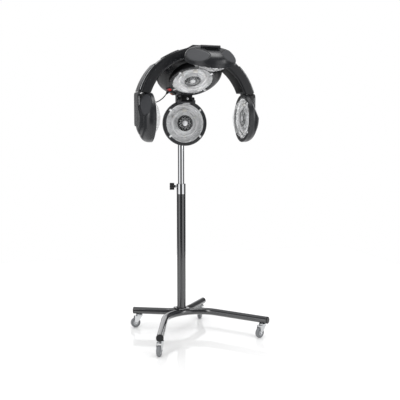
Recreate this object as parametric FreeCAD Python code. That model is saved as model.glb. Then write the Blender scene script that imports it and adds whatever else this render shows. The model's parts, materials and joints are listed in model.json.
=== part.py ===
import FreeCAD, Part
import math
import os

from FreeCAD import Vector, Matrix, Placement, Rotation

# Hair colour processor: five round lamp-and-fan heads on an arched hood, carried
# by a sliding chrome mast on a four-castor stand.
# Millimetres, +Z up, floor at z = 0, mast axis on Z.  The client sits on the -Y
# side and the hood reaches out over the head towards -Y.  +X is to the right for
# someone who looks at the hood from the front.

# ---------------------------------------------------------------- stand sizes
BASE_TURN = 12.6            # degrees that the stand is turned on the floor, seen against the hood
LEG_TUBE_R = 17.5
LEG_TUBE_WALL = 2.0
LEG_HEIGHT = 86.0           # centre line of the leg tubes
FRONT_LEG_REACH = 455.0     # mast axis to the end of a long leg
FRONT_LEG_ANGLE = 39.8      # degrees each side of straight ahead
REAR_LEG_REACH = 246.0
REAR_LEG_ANGLE = 124.3
FRONT_BEND_R = 170.0
REAR_BEND_R = 120.0
TUBE_PAIR_GAP = 0.4         # between the two bent tubes where they pass back to back
CAP_THICKNESS = 5.0
PLUG_LENGTH = 44.0
PLUG_CLEARANCE = 0.2
HUB_PLATE_SIDE = 64.0
HUB_PLATE_THICKNESS = 4.0
WELD_GAP = 0.1
COLUMN_R = 22.5
COLUMN_WALL = 2.0
COLUMN_TOP = 693.0
COLLAR_R = 23.0
COLLAR_TOP = 744.0
COLLAR_SLEEVE_LENGTH = 40.0
SLEEVE_CLEARANCE = 0.1
MAST_R = 16.0
MAST_WALL = 2.5
MAST_BOTTOM = 330.0
MAST_TOP = 1148.0
RUNNING_CLEARANCE = 0.05    # radial, every shaft that turns or slides in a bore

# ---------------------------------------------------------------- castor sizes
CASTOR_STEM_INSET = 26.0    # stem centre, back from the end of the leg
CASTOR_STEM_R = 5.5
CASTOR_TRAIL = 20.0
WHEEL_R = 25.0
WHEEL_WIDTH = 18.0
WHEEL_EDGE_R = 5.0
AXLE_R = 4.0
FORK_SIDE_GAP = 1.5
FORK_PLATE = 2.5
FORK_TOP = 61.0
RACE_R = 17.0
RACE_GAP = 0.6
CASTOR_TURNS = {"left": -85.0, "right": -62.0, "front": -28.0, "rear": -30.0}

# ---------------------------------------------------------------- clamp knob
KNOB_HEIGHT = 731.0
KNOB_AZIMUTH = -106.6       # degrees from -Y, towards -X
KNOB_R = 17.0
KNOB_LENGTH = 22.0
KNOB_LOBES = 6
KNOB_LOBE_R = 5.0
KNOB_NECK_R = 7.0
KNOB_SHANK_R = 4.0
KNOB_BOSS_R = 9.0
KNOB_BOSS_REACH = 29.0
KNOB_TIP_GAP = 0.15

# ---------------------------------------------------------------- mast head
MAST_SOCKET_R = 21.0
MAST_SOCKET_LENGTH = 34.0
MAST_SOCKET_BOTTOM = MAST_TOP - MAST_SOCKET_LENGTH
TILT_RISE = 57.0            # tilt pin above the top of the mast
TILT_Z = MAST_TOP + TILT_RISE
TILT_PIN_R = 6.0
TILT_EAR_R = 16.0
TILT_EAR_THICKNESS = 10.0
TILT_LUG_WIDTH = 28.0
SIDE_CLEARANCE = 0.3        # between faces that turn past each other

# ---------------------------------------------------------------- lamp head sizes
HEAD_R = 110.0
HEAD_DEPTH = 55.0
HEAD_RIM_BAND = 14.0
HEAD_SHOULDER_R = 86.0
HEAD_SHOULDER_DEPTH = 47.0
HEAD_FLANK_R = 104.0
HEAD_FLANK_DEPTH = 33.0
HEAD_BACK_R = 50.0
HEAD_WALL = 3.0
LENS_SEAT_R = 94.0
LENS_R = 91.0
LENS_HEIGHT = 40.0
LENS_WALL = 2.5
LENS_FOOT = 2.6
SEAT_CLEARANCE = 0.3
REFLECTOR_R = 104.0
REFLECTOR_WALL = 1.5
REFLECTOR_FLOOR_R = 62.0
REFLECTOR_FLOOR = 25.0
THROAT_R = 39.0
THROAT_TOP = 2.0
LAMP_RING_R = 62.0
LAMP_TUBE_R = 5.0
LAMP_DEPTH = 13.0
LAMP_POSTS = 3
LAMP_POST_R = 2.5
GUARD_SEAT = 0.3
GUARD_DEPTH = 2.0
GUARD_THICKNESS = 3.0
GUARD_RING = 3.5
GUARD_HUB_R = 13.0
GUARD_SPOKES = 6
GUARD_SPOKE_WIDTH = 3.0
MOTOR_R = 16.0
MOTOR_TOP = 24.0
SHAFT_R = 2.5
SHAFT_TOP = 7.0
FAN_R = 35.0
FAN_HUB_R = 12.0
FAN_TOP = 9.0
FAN_LENGTH = 12.0
FAN_BLADES = 7
FAN_BLADE_CHORD = 14.0
FAN_BLADE_THICKNESS = 1.6
FAN_BLADE_PITCH = 32.0
CLIP_ANGLES = (40.0, 140.0, 220.0, 320.0)
CLIP_WIDTH = 9.0
CLIP_HEIGHT = 2.4
CLIP_INNER_R = 91.3
CLIP_OUTER_R = 104.0
FACET_REACH = 74.0          # flat facet on a shell's back, from the middle of the rim
FACET_LEAN = 35.0           # degrees between a facet's outward way and the head's axis
FACET_ANGLES = {"rear": (47.0, 133.0), "crown": (), "front": (-30.0, 210.0),
                "left": (47.0, 133.0), "right": (47.0, 133.0)}

# ---------------------------------------------------------------- crown and rear head
CROWN_Y = -217.0
CROWN_RISE = 31.0           # crown head's centre above the tilt pin
CROWN_Z = TILT_Z + CROWN_RISE
CROWN_DIP = 58.0            # degrees below level that the crown head looks
REAR_HEAD_Y = -80.0
REAR_HEAD_DROP = 190.0      # below the crown head
REAR_HEAD_Z = CROWN_Z - REAR_HEAD_DROP

# ---------------------------------------------------------------- arch of the arms
ARCH_RISE = 145.0           # top of the arch above the crown head's centre
ARCH_TOP = CROWN_Z + ARCH_RISE
ARCH_OUTER_R = 278.0
ARCH_DEPTH = 47.0
ARCH_INNER_R = ARCH_OUTER_R - ARCH_DEPTH
ARCH_MID_R = ARCH_OUTER_R - ARCH_DEPTH / 2
ARCH_Z = ARCH_TOP - ARCH_OUTER_R
ARCH_Y = -262.0
ARCH_WIDTH = 112.0          # front to back
ARCH_EDGE_R = 9.0
ARM_WALL = 4.0
ARM_END_RISE = 81.0         # rear of an arm's end, above the centre of the arch
ARM_END_Z = ARCH_Z + ARM_END_RISE
ARM_HEM_DROP = 14.0         # front of an arm's end, below its rear
ARM_HEM_FLAT = 28.0         # level part of the hem, from the arm's front face
ARM_HEM_SLOPE = 40.0
ARM_HINGE_X = 58.0
ARM_PIN_R = 5.0
ARM_EAR = 14.0
KNUCKLE_CLEARANCE = 0.6
HINGE_END_CLEARANCE = 0.5
ARM_RIBS = 7
ARM_RIB_START = 19.6
ARM_RIB_STEP = 2.2
ARM_RIB_WIDTH = 5.0
ARM_RIB_HEIGHT = 3.0
STRIP_WIDTH = 84.0          # outer cover strip of an arm and strap behind a side head
STRIP_THICKNESS = 6.8
STRIP_GAP = 0.2
STRIP_START_ANGLE = 45.0
HEAD_PIN_RISE = 97.0        # pin of a side head above the centre of the arch
HEAD_PIN_Z = ARCH_Z + HEAD_PIN_RISE
HEAD_PIN_X = math.sqrt(ARCH_MID_R ** 2 - HEAD_PIN_RISE ** 2)
HEAD_PIN_R = 4.0
HEAD_LUG_R = 12.0
HEAD_LUG_WIDTH = 30.0
HEAD_LUG_ROOT = 42.0        # lug's foot below the top of the shell
HEAD_LUG_EASE = 1.5         # foot narrower than the lug's eye, on each side
SIDE_HEAD_INSET = 19.3      # rim of a side head inside its pin
SIDE_HEAD_AHEAD = 32.0
SIDE_HEAD_DROP = 134.0
SIDE_HEAD_X = HEAD_PIN_X - SIDE_HEAD_INSET
SIDE_HEAD_Y = ARCH_Y - SIDE_HEAD_AHEAD
SIDE_HEAD_Z = HEAD_PIN_Z - SIDE_HEAD_DROP
SIDE_TILT = 20.0            # degrees that a side head tips, bottom outwards
SIDE_ROOM_STEPS = 4
SIDE_ROOM = 1.5             # between a side shell and the arm's end
STRAP_THICKNESS = 8.0
STRAP_TOP_DROP = 21.0       # strap's top below the head's pin
STRAP_LENGTH = 151.0
STRAP_TOP = HEAD_PIN_Z - STRAP_TOP_DROP
STRAP_BOTTOM = STRAP_TOP - STRAP_LENGTH
STRAP_CORNER_R = 18.0
STRAP_CHAMFER = 4.0
WEB_DEPTH = 31.0            # web between a side shell and its strap
WEB_TOP_DROP = 27.0         # web's top below the strap's top
WEB_R = 106.0
BACK_CAP_R = 84.0           # round cap on the back of a side head
BACK_CAP_RISE = 7.5
BACK_CAP_FLAT_R = 46.0

# ---------------------------------------------------------------- housing
BOWL_HALF_WIDTH = 158.0     # half axes of the egg that the housing is cut from
BOWL_HALF_LENGTH = 153.0
BOWL_HALF_DEPTH = 62.0
BOWL_DROP = -30.0           # centre of the egg, seen from the crown head's rim
BOWL_BACK = -65.0
BOWL_WALL = 4.0
BOWL_TAIL_CLEARANCE = 4.0   # between the housing and the mast head
CROWN_SEAT = 0.4
TILT_LUG_ROOT_Y = -64.0
HUMP_RISE = 13.0            # hump above the arch
HUMP_TOP = ARCH_TOP + HUMP_RISE
HUMP_HALF_WIDTH = 52.0
HUMP_TOP_HALF_WIDTH = 22.0
HUMP_TAIL = 48.0            # hump behind the arch
HUMP_BACK_Y = ARCH_Y + ARCH_WIDTH / 2 + HUMP_TAIL
HUMP_TAIL_DROP = 15.0
HUMP_BACK_TOP = ARCH_TOP - HUMP_TAIL_DROP
HUMP_DEPTH = 81.0
HUMP_FLOOR = ARCH_TOP - HUMP_DEPTH
ARCH_ROOM_AHEAD = 60.0      # space that the bowl leaves in front of the arch
ARCH_ROOM_RISE = 60.0
COVER_GAP = 0.2

# ---------------------------------------------------------------- front arm and handle
FRONT_PIN_AHEAD = 28.0      # pin in front of the arch
FRONT_PIN_DROP = 17.0       # pin below the top of the arch
FRONT_PIN_Y = ARCH_Y - ARCH_WIDTH / 2 - FRONT_PIN_AHEAD
FRONT_PIN_Z = ARCH_TOP - FRONT_PIN_DROP
FRONT_PIN_R = 5.0
FRONT_HEAD_REACH = 136.0    # front head in front of its pin
FRONT_HEAD_DROP = 64.0
FRONT_HEAD_Y = FRONT_PIN_Y - FRONT_HEAD_REACH
FRONT_HEAD_Z = FRONT_PIN_Z - FRONT_HEAD_DROP
FRONT_DIP = 70.0            # degrees below level that the front head looks back
FRONT_KNUCKLE_R = 15.0
FRONT_KNUCKLE_WIDTH = 50.0
FRONT_EAR = 12.0
FRONT_ARM_REACH = 68.0
HANDLE_LENGTH = 86.0
HANDLE_BAR_R = 6.5
HANDLE_RISE = 12.5
HANDLE_BACK = 12.0          # handle behind the middle of the head, along its slope
FINGER_LENGTH = 60.0        # recess for the fingers, in front of and under the bar
FINGER_WIDTH = 48.0
FINGER_DEPTH = 11.0
FINGER_BACK = -14.0
FINGER_CORNER_R = 9.0

# ---------------------------------------------------------------- rear neck
NECK_HALF_WIDTH = 42.0
NECK_CHEEK = 13.0
NECK_AHEAD = 36.0           # neck in front of the rear head's rim
NECK_BEHIND = 26.0
NECK_FRONT_Y = REAR_HEAD_Y - NECK_AHEAD
NECK_BACK_Y = REAR_HEAD_Y + NECK_BEHIND
NECK_RISE = 97.0            # neck's floor above the head's centre
NECK_BOTTOM = REAR_HEAD_Z + NECK_RISE
NECK_FLOOR = 6.0
NECK_SKIRT = 25.0
NECK_SKIRT_BOTTOM = NECK_BOTTOM - NECK_SKIRT
NECK_PIN_AHEAD = 8.0
NECK_PIN_RISE = 15.0
NECK_PIN_Y = REAR_HEAD_Y - NECK_PIN_AHEAD
NECK_PIN_Z = NECK_BOTTOM + NECK_PIN_RISE
NECK_PIN_R = 5.0
NECK_CHEEK_R = 14.0
HINGE_BLOCK_INSET = 8.0     # hinge block's ends inside the neck
HINGE_BLOCK_FRONT_Y = NECK_FRONT_Y + HINGE_BLOCK_INSET
HINGE_BLOCK_BACK_Y = NECK_BACK_Y - HINGE_BLOCK_INSET
HINGE_EYE_R = 8.0

# ---------------------------------------------------------------- control panel
PANEL_SIDE = -71.0          # centre of the panel, seen from the crown head's centre
PANEL_DROP = -116.0
PANEL_LEAN = -49.0          # turn of the panel's long side, seen on the crown head's plane
PANEL_PAD_RISE = 1.5
PANEL_PAD_DEPTH = 12.0
PANEL_PAD_RIM = 3.0
PANEL_LENGTH = 44.0
PANEL_WIDTH = 26.0
PANEL_THICKNESS = 5.0
PANEL_CORNER_R = 5.0
KEY_R = 3.6
KEY_CLEARANCE = 0.15
KEY_PROUD = 1.6
KEY_TRAVEL_ROOM = 1.2
KEY_SPACING = 11.0
KEY_ROW = -6.5
KEY_NAMES = ("key_down", "key_start", "key_up")

# ---------------------------------------------------------------- lead to the left head
LEAD_R = 2.5
GLAND_R = 6.0
GLAND_LENGTH = 12.0
LEAD_RUN_SHARE = 0.45       # arc length taken from the shorter of two runs
LEAD_FROM_CROWN = [         # first points, from the crown head's centre
    (-93.0, 136.0, -49.0),
    (-109.0, 126.0, -67.0),
    (-128.0, 107.0, -80.0),
    (-150.0, 79.0, -91.0),
]
LEAD_TO_ARM = [             # last points, from the left head's pin
    (59.3, 90.0, -61.0),
    (37.3, 62.0, -56.0),
    (21.3, 45.0, -40.0),
    (10.3, 36.0, -20.0),
]
LEAD_POINTS = [(x, CROWN_Y + y, CROWN_Z + z) for x, y, z in LEAD_FROM_CROWN]
LEAD_POINTS += [(x - HEAD_PIN_X, ARCH_Y + y, HEAD_PIN_Z + z) for x, y, z in LEAD_TO_ARM]

# ---------------------------------------------------------------- helpers


def export(shape, name):
    """Write one node as a STEP file."""
    shape.exportStep("parts/" + name + ".step")


def profile_face(start, moves):
    """Face in the XZ plane; a move is a point (line) or a (through, end) pair (arc)."""
    edges = []
    here = Vector(start[0], 0, start[1])
    first = here
    for move in moves:
        if isinstance(move[0], tuple):
            through = Vector(move[0][0], 0, move[0][1])
            there = Vector(move[1][0], 0, move[1][1])
            edges.append(Part.Arc(here, through, there).toShape())
        else:
            there = Vector(move[0], 0, move[1])
            edges.append(Part.makeLine(here, there))
        here = there
    if here.distanceToPoint(first) > 1e-6:
        edges.append(Part.makeLine(here, first))
    return Part.Face(Part.Wire(edges))


def turned(start, moves):
    """Solid of revolution about Z from a profile."""
    return profile_face(start, moves).revolve(Vector(0, 0, 0), Vector(0, 0, 1), 360)


def rod(a, b, radius):
    """Cylinder from point a to point b."""
    a = Vector(*a)
    b = Vector(*b)
    return Part.makeCylinder(radius, (b - a).Length, a, b - a)


def block(x0, x1, y0, y1, z0, z1):
    """Box between two corners."""
    return Part.makeBox(x1 - x0, y1 - y0, z1 - z0, Vector(x0, y0, z0))


def rounded_plate(length, width, thickness, corner_r):
    """Flat plate on the XY plane, centred, with round corners."""
    plate = block(-length / 2, length / 2, -width / 2, width / 2, 0, thickness)
    uprights = [e for e in plate.Edges if abs(e.BoundBox.ZLength - thickness) < 1e-6]
    return plate.makeFillet(corner_r, uprights)


def prism_x(points, x0, x1):
    """Polygon of (y, z) points drawn out along X."""
    corners = [Vector(x0, y, z) for y, z in points]
    face = Part.Face(Part.makePolygon(corners + corners[:1]))
    return face.extrude(Vector(x1 - x0, 0, 0))


def prism_y(points, y0, y1):
    """Polygon of (x, z) points drawn out along Y."""
    corners = [Vector(x, y0, z) for x, z in points]
    face = Part.Face(Part.makePolygon(corners + corners[:1]))
    return face.extrude(Vector(0, y1 - y0, 0))


def place(origin, facing, top):
    """Placement that takes local Z to the facing direction and local Y to the top."""
    z_axis = Vector(*facing).normalize()
    y_axis = Vector(*top).normalize()
    x_axis = y_axis.cross(z_axis)
    matrix = Matrix(
        x_axis.x, y_axis.x, z_axis.x, origin[0],
        x_axis.y, y_axis.y, z_axis.y, origin[1],
        x_axis.z, y_axis.z, z_axis.z, origin[2],
        0, 0, 0, 1)
    return Placement(matrix)


def moved(shape, placement):
    """Copy of a shape, placed."""
    copy = shape.copy()
    copy.Placement = placement.multiply(copy.Placement)
    return copy


def mirrored(shape):
    """The same shape on the other side of the YZ plane."""
    return shape.mirror(Vector(0, 0, 0), Vector(1, 0, 0))


def heading(angle):
    """Level direction, in degrees from -Y towards +X."""
    turn = math.radians(angle)
    return Vector(math.sin(turn), -math.cos(turn), 0)


# ---------------------------------------------------------------- stand


def bent_tube_path(reach, angle, apex, bend_r):
    """Centre line of one V-shaped leg tube: straight, one round bend, straight."""
    ahead = 1 if apex > 0 else -1
    forward = heading(BASE_TURN)
    across = Vector(-forward.y, forward.x, 0)
    level = Vector(0, 0, LEG_HEIGHT)
    end_turn = math.radians(angle)
    end_side = reach * math.sin(end_turn)
    end_ahead = reach * math.cos(end_turn)
    bend_ahead = apex + ahead * bend_r
    gap_side = end_side
    gap_ahead = end_ahead - bend_ahead
    gap = math.hypot(gap_side, gap_ahead)
    tangent = math.sqrt(gap * gap - bend_r * bend_r)
    swing = math.atan2(bend_r, tangent)
    unit_side = -gap_side / gap
    unit_ahead = -gap_ahead / gap
    turn = swing * ahead
    leg_side = unit_side * math.cos(turn) - unit_ahead * math.sin(turn)
    leg_ahead = unit_side * math.sin(turn) + unit_ahead * math.cos(turn)
    touch_side = end_side + leg_side * tangent
    touch_ahead = end_ahead + leg_ahead * tangent

    def point(side, along):
        return across * side + forward * along + level

    return [
        point(end_side, end_ahead),
        point(touch_side, touch_ahead),
        point(0, apex),
        point(-touch_side, touch_ahead),
        point(-end_side, end_ahead),
    ]


def bent_tube(points, radius):
    """Round bar along a line, arc and line."""
    end_a, touch_a, apex, touch_b, end_b = points
    path = Part.Wire([
        Part.makeLine(end_a, touch_a),
        Part.Arc(touch_a, apex, touch_b).toShape(),
        Part.makeLine(touch_b, end_b)])
    section = Part.Wire(Part.makeCircle(radius, end_a, touch_a - end_a))
    return path.makePipeShell([section], True, False)


def leg_ends():
    """Name, end point and outward direction of every leg."""
    ends = {}
    front = bent_tube_path(FRONT_LEG_REACH, FRONT_LEG_ANGLE, front_apex(), FRONT_BEND_R)
    rear = bent_tube_path(REAR_LEG_REACH, REAR_LEG_ANGLE, -front_apex(), REAR_BEND_R)
    for name, end, touch in (
            ("right", front[0], front[1]), ("front", front[4], front[3]),
            ("rear", rear[0], rear[1]), ("left", rear[4], rear[3])):
        ends[name] = (end, (end - touch).normalize())
    return ends


def front_apex():
    """Centre line of the front tube, ahead of the mast axis."""
    return LEG_TUBE_R + TUBE_PAIR_GAP / 2


def castor_stem_point(end, outward):
    """Where the castor's stem axis crosses the leg's centre line."""
    return end - outward * CASTOR_STEM_INSET


def build_stand():
    """Leg tubes, end caps, hub plate, column and its collar."""
    ends = leg_ends()
    stem_bores = []
    for end, outward in ends.values():
        stem = castor_stem_point(end, outward)
        stem_bores.append(rod(
            (stem.x, stem.y, FORK_TOP), (stem.x, stem.y, LEG_HEIGHT),
            CASTOR_STEM_R + RUNNING_CLEARANCE))
    for name, reach, angle, apex, bend_r in (
            ("front_leg_tube", FRONT_LEG_REACH, FRONT_LEG_ANGLE, front_apex(), FRONT_BEND_R),
            ("rear_leg_tube", REAR_LEG_REACH, REAR_LEG_ANGLE, -front_apex(), REAR_BEND_R)):
        points = bent_tube_path(reach, angle, apex, bend_r)
        tube = bent_tube(points, LEG_TUBE_R)
        tube = tube.cut(bent_tube(points, LEG_TUBE_R - LEG_TUBE_WALL))
        export(tube.cut(stem_bores), name)

    caps = []
    plug_r = LEG_TUBE_R - LEG_TUBE_WALL - PLUG_CLEARANCE
    for end, outward in ends.values():
        inner = end - outward * PLUG_LENGTH
        face = end + outward * CAP_THICKNESS
        plug = rod(tuple(inner), tuple(end), plug_r)
        button = rod(tuple(end), tuple(face), LEG_TUBE_R)
        outer_edge = [e for e in button.Edges
                      if e.Closed and e.CenterOfMass.distanceToPoint(face) < 0.1]
        button = button.makeFillet(CAP_THICKNESS * 0.6, outer_edge)
        caps.append(plug.fuse(button).removeSplitter().cut(stem_bores))
    export(Part.makeCompound(caps), "leg_end_caps")

    plate_z = LEG_HEIGHT + LEG_TUBE_R + WELD_GAP
    plate = rounded_plate(HUB_PLATE_SIDE, HUB_PLATE_SIDE, HUB_PLATE_THICKNESS, 4.0)
    turn = Placement(Vector(0, 0, plate_z), Rotation(Vector(0, 0, 1), BASE_TURN))
    export(moved(plate, turn), "hub_plate")

    column_bottom = plate_z + HUB_PLATE_THICKNESS
    column_inner_r = COLUMN_R - COLUMN_WALL
    column = rod((0, 0, column_bottom), (0, 0, COLUMN_TOP), COLUMN_R)
    column = column.cut(rod((0, 0, column_bottom), (0, 0, COLUMN_TOP), column_inner_r))
    export(column, "column_tube")

    away = heading(KNOB_AZIMUTH)
    level = Vector(0, 0, KNOB_HEIGHT)
    sleeve_r = column_inner_r - SLEEVE_CLEARANCE
    collar = rod((0, 0, COLUMN_TOP), (0, 0, COLLAR_TOP), COLLAR_R)
    collar = collar.makeChamfer(1.5, [e for e in collar.Edges if e.BoundBox.ZMin > COLLAR_TOP - 1])
    collar = collar.fuse(rod((0, 0, COLUMN_TOP - COLLAR_SLEEVE_LENGTH), (0, 0, COLUMN_TOP), sleeve_r))
    collar = collar.fuse(rod(tuple(level), tuple(level + away * KNOB_BOSS_REACH), KNOB_BOSS_R))
    collar = collar.removeSplitter()
    collar = collar.cut(rod((0, 0, 0), (0, 0, COLLAR_TOP + 1), MAST_R + RUNNING_CLEARANCE))
    collar = collar.cut(rod(tuple(level), tuple(level + away * (KNOB_BOSS_REACH + 1)),
                            KNOB_SHANK_R + RUNNING_CLEARANCE))
    export(collar, "column_collar")

    shank = rod(tuple(level + away * (MAST_R + RUNNING_CLEARANCE + KNOB_TIP_GAP)),
                tuple(level + away * (KNOB_BOSS_REACH + 6)), KNOB_SHANK_R)
    neck = rod(tuple(level + away * (KNOB_BOSS_REACH + 0.5)),
               tuple(level + away * (KNOB_BOSS_REACH + 6)), KNOB_NECK_R)
    grip = rod((0, 0, 0), (0, 0, KNOB_LENGTH), KNOB_R - 2)
    for lobe in range(KNOB_LOBES):
        turn = 2 * math.pi * lobe / KNOB_LOBES
        ring = KNOB_R - KNOB_LOBE_R + 2
        centre = (ring * math.cos(turn), ring * math.sin(turn))
        grip = grip.fuse(rod((*centre, 0), (*centre, KNOB_LENGTH), KNOB_LOBE_R))
    grip = grip.removeSplitter()
    seat = place(level + away * (KNOB_BOSS_REACH + 6), away, Vector(0, 0, 1))
    export(shank.fuse([neck, moved(grip, seat)]).removeSplitter(), "clamp_knob")

    mast = rod((0, 0, MAST_BOTTOM), (0, 0, MAST_TOP), MAST_R)
    mast = mast.cut(rod((0, 0, MAST_BOTTOM), (0, 0, MAST_TOP), MAST_R - MAST_WALL))
    export(mast, "mast_tube")


def build_castor(name, end, outward):
    """One fork with its stem, race and axle, and one wheel."""
    stem = castor_stem_point(end, outward)
    half_gap = WHEEL_WIDTH / 2 + FORK_SIDE_GAP
    race_top = LEG_HEIGHT - LEG_TUBE_R - RACE_GAP
    stem_rod = rod((0, 0, FORK_TOP - FORK_PLATE), (0, 0, LEG_HEIGHT - 1), CASTOR_STEM_R)
    race = rod((0, 0, FORK_TOP), (0, 0, race_top), RACE_R)
    race_rims = [e for e in race.Edges if e.Closed]
    race = race.makeChamfer(1.5, race_rims)
    outer = half_gap + FORK_PLATE
    top = block(-outer, outer, -RACE_R * 0.85, CASTOR_TRAIL + 6, FORK_TOP - FORK_PLATE, FORK_TOP)
    fork = stem_rod.fuse([race, top])
    for side in (-1, 1):
        near = side * half_gap
        far = side * outer
        low = min(near, far)
        high = max(near, far)
        cheek = prism_x([
            (-RACE_R * 0.85, FORK_TOP), (CASTOR_TRAIL + 6, FORK_TOP),
            (CASTOR_TRAIL + 8, WHEEL_R), (CASTOR_TRAIL, WHEEL_R - 8), (CASTOR_TRAIL - 8, WHEEL_R)],
            low, high)
        fork = fork.fuse(cheek)
    fork = fork.fuse(rod((-outer - 1.5, CASTOR_TRAIL, WHEEL_R), (outer + 1.5, CASTOR_TRAIL, WHEEL_R), AXLE_R))
    fork = fork.removeSplitter()

    half = WHEEL_WIDTH / 2
    bore = AXLE_R + RUNNING_CLEARANCE
    corner = WHEEL_R - WHEEL_EDGE_R * (1 - math.sqrt(0.5))
    edge = half - WHEEL_EDGE_R * (1 - math.sqrt(0.5))
    tyre_inner = WHEEL_R - 7
    wheel = turned((bore, -half), [
        (tyre_inner - 5, -half), (tyre_inner - 4, -half + 2.5), (tyre_inner, -half + 2.5),
        (tyre_inner + 1, -half), (WHEEL_R - WHEEL_EDGE_R, -half),
        ((corner, -edge), (WHEEL_R, -half + WHEEL_EDGE_R)),
        (WHEEL_R, half - WHEEL_EDGE_R),
        ((corner, edge), (WHEEL_R - WHEEL_EDGE_R, half)),
        (tyre_inner + 1, half), (tyre_inner, half - 2.5), (tyre_inner - 4, half - 2.5),
        (tyre_inner - 5, half), (bore, half)])
    on_axle = Placement(Vector(0, CASTOR_TRAIL, WHEEL_R), Rotation(Vector(0, 1, 0), 90))
    wheel = moved(wheel, on_axle)

    trail = heading(CASTOR_TURNS[name])
    spin = math.degrees(math.atan2(trail.y, trail.x)) - 90
    seat = Placement(Vector(stem.x, stem.y, 0), Rotation(Vector(0, 0, 1), spin))
    export(moved(fork, seat), "castor_fork_" + name)
    export(moved(wheel, seat), "castor_wheel_" + name)


# ---------------------------------------------------------------- lamp heads


def facet_room(angle, inset):
    """Block beyond a flat facet on the back of a shell."""
    lean = math.radians(FACET_LEAN)
    turn = math.radians(angle)
    outward = Vector(math.cos(turn) * math.sin(lean), math.sin(turn) * math.sin(lean), -math.cos(lean))
    along = Vector(-math.sin(turn), math.cos(turn), 0)
    room = block(-2 * HEAD_R, 2 * HEAD_R, -2 * HEAD_R, 2 * HEAD_R, 0, HEAD_R)
    return moved(room, place(outward * (FACET_REACH - inset), outward, along))


def cup(inset, facets=()):
    """Outside of a head's shell, or its cavity when inset by the wall."""
    flank = (HEAD_FLANK_R - inset, -HEAD_FLANK_DEPTH + inset * 0.4)
    shoulder = (HEAD_SHOULDER_R - inset * 0.6, -HEAD_SHOULDER_DEPTH + inset * 0.8)
    back = -HEAD_DEPTH + inset
    mid_back = (HEAD_BACK_R + 16, back + 2.2)
    front = 0 if inset == 0 else -inset
    solid = turned((0, front), [
        (HEAD_R - inset, front), (HEAD_R - inset, -HEAD_RIM_BAND),
        (flank, shoulder), (mid_back, (HEAD_BACK_R, back)), (0, back)])
    for angle in facets:
        solid = solid.cut(facet_room(angle, inset))
    return solid


def crown_room():
    """Room that the housing leaves for the crown head."""
    flank = (HEAD_FLANK_R + CROWN_SEAT, -HEAD_FLANK_DEPTH)
    shoulder = (HEAD_SHOULDER_R + CROWN_SEAT, -HEAD_SHOULDER_DEPTH - CROWN_SEAT)
    back = -HEAD_DEPTH - CROWN_SEAT
    rim_r = HEAD_R + CROWN_SEAT
    mid_back = (HEAD_BACK_R + 16, back + 2.2)
    return turned((0, 2), [
        (rim_r, 2), (rim_r, -HEAD_RIM_BAND),
        (flank, shoulder), (mid_back, (HEAD_BACK_R, back)), (0, back)])


def head_shell(facets):
    """Cup with an in-turned lip, a motor can with its shaft, and lens clips."""
    shell = cup(0, facets).cut(cup(HEAD_WALL, facets))
    shell = shell.cut(rod((0, 0, -HEAD_WALL - 1), (0, 0, 1), LENS_SEAT_R))
    motor = rod((0, 0, -HEAD_DEPTH + HEAD_WALL / 2), (0, 0, -MOTOR_TOP), MOTOR_R)
    shaft = rod((0, 0, -MOTOR_TOP), (0, 0, -SHAFT_TOP), SHAFT_R)
    clips = []
    for angle in CLIP_ANGLES:
        foot = block(LENS_SEAT_R + 1, CLIP_OUTER_R, -CLIP_WIDTH / 2, CLIP_WIDTH / 2, -0.5, CLIP_HEIGHT)
        nose = block(CLIP_INNER_R, LENS_SEAT_R + 2, -CLIP_WIDTH / 2, CLIP_WIDTH / 2, 0.2, CLIP_HEIGHT)
        clip = foot.fuse(nose)
        clip.rotate(Vector(0, 0, 0), Vector(0, 0, 1), angle)
        clips.append(clip)
    return shell.fuse([motor, shaft] + clips).removeSplitter()


def head_lens():
    """Clear domed cover."""
    ball_r = (LENS_R ** 2 + LENS_HEIGHT ** 2) / (2 * LENS_HEIGHT)
    drop = ball_r - LENS_HEIGHT
    inner_ball = ball_r - LENS_WALL
    inner_edge = math.sqrt(inner_ball ** 2 - drop ** 2)
    half = math.asin(LENS_R / ball_r) / 2
    outer_mid = (ball_r * math.sin(half), ball_r * math.cos(half) - drop)
    inner_mid = (inner_ball * math.sin(half), inner_ball * math.cos(half) - drop)
    foot_r = LENS_SEAT_R - SEAT_CLEARANCE
    foot = -LENS_FOOT - SEAT_CLEARANCE
    return turned((foot_r, foot), [
        (foot_r, 0), (LENS_R, 0), (outer_mid, (0, LENS_HEIGHT)), (0, LENS_HEIGHT - LENS_WALL),
        (inner_mid, (inner_edge, 0)), (inner_edge, foot)])


def head_reflector():
    """Chromed dish with a seat for the lens and a throat for the fan."""
    top = -HEAD_WALL - SEAT_CLEARANCE
    under = top - REFLECTOR_WALL
    floor = -REFLECTOR_FLOOR
    throat_out = THROAT_R + REFLECTOR_WALL
    bowl_edge = LENS_SEAT_R - 7
    middle = ((bowl_edge + REFLECTOR_FLOOR_R) / 2 + 3, (top + floor) / 2 - 3)
    middle_under = (middle[0] + REFLECTOR_WALL * 0.6, middle[1] - REFLECTOR_WALL * 0.8)
    return turned((REFLECTOR_R, top), [
        (bowl_edge, top), (middle, (REFLECTOR_FLOOR_R, floor)), (throat_out, floor),
        (throat_out, -THROAT_TOP), (THROAT_R, -THROAT_TOP), (THROAT_R, floor - REFLECTOR_WALL),
        (REFLECTOR_FLOOR_R, floor - REFLECTOR_WALL),
        (middle_under, (bowl_edge + REFLECTOR_WALL, under)), (REFLECTOR_R, under)])


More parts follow.
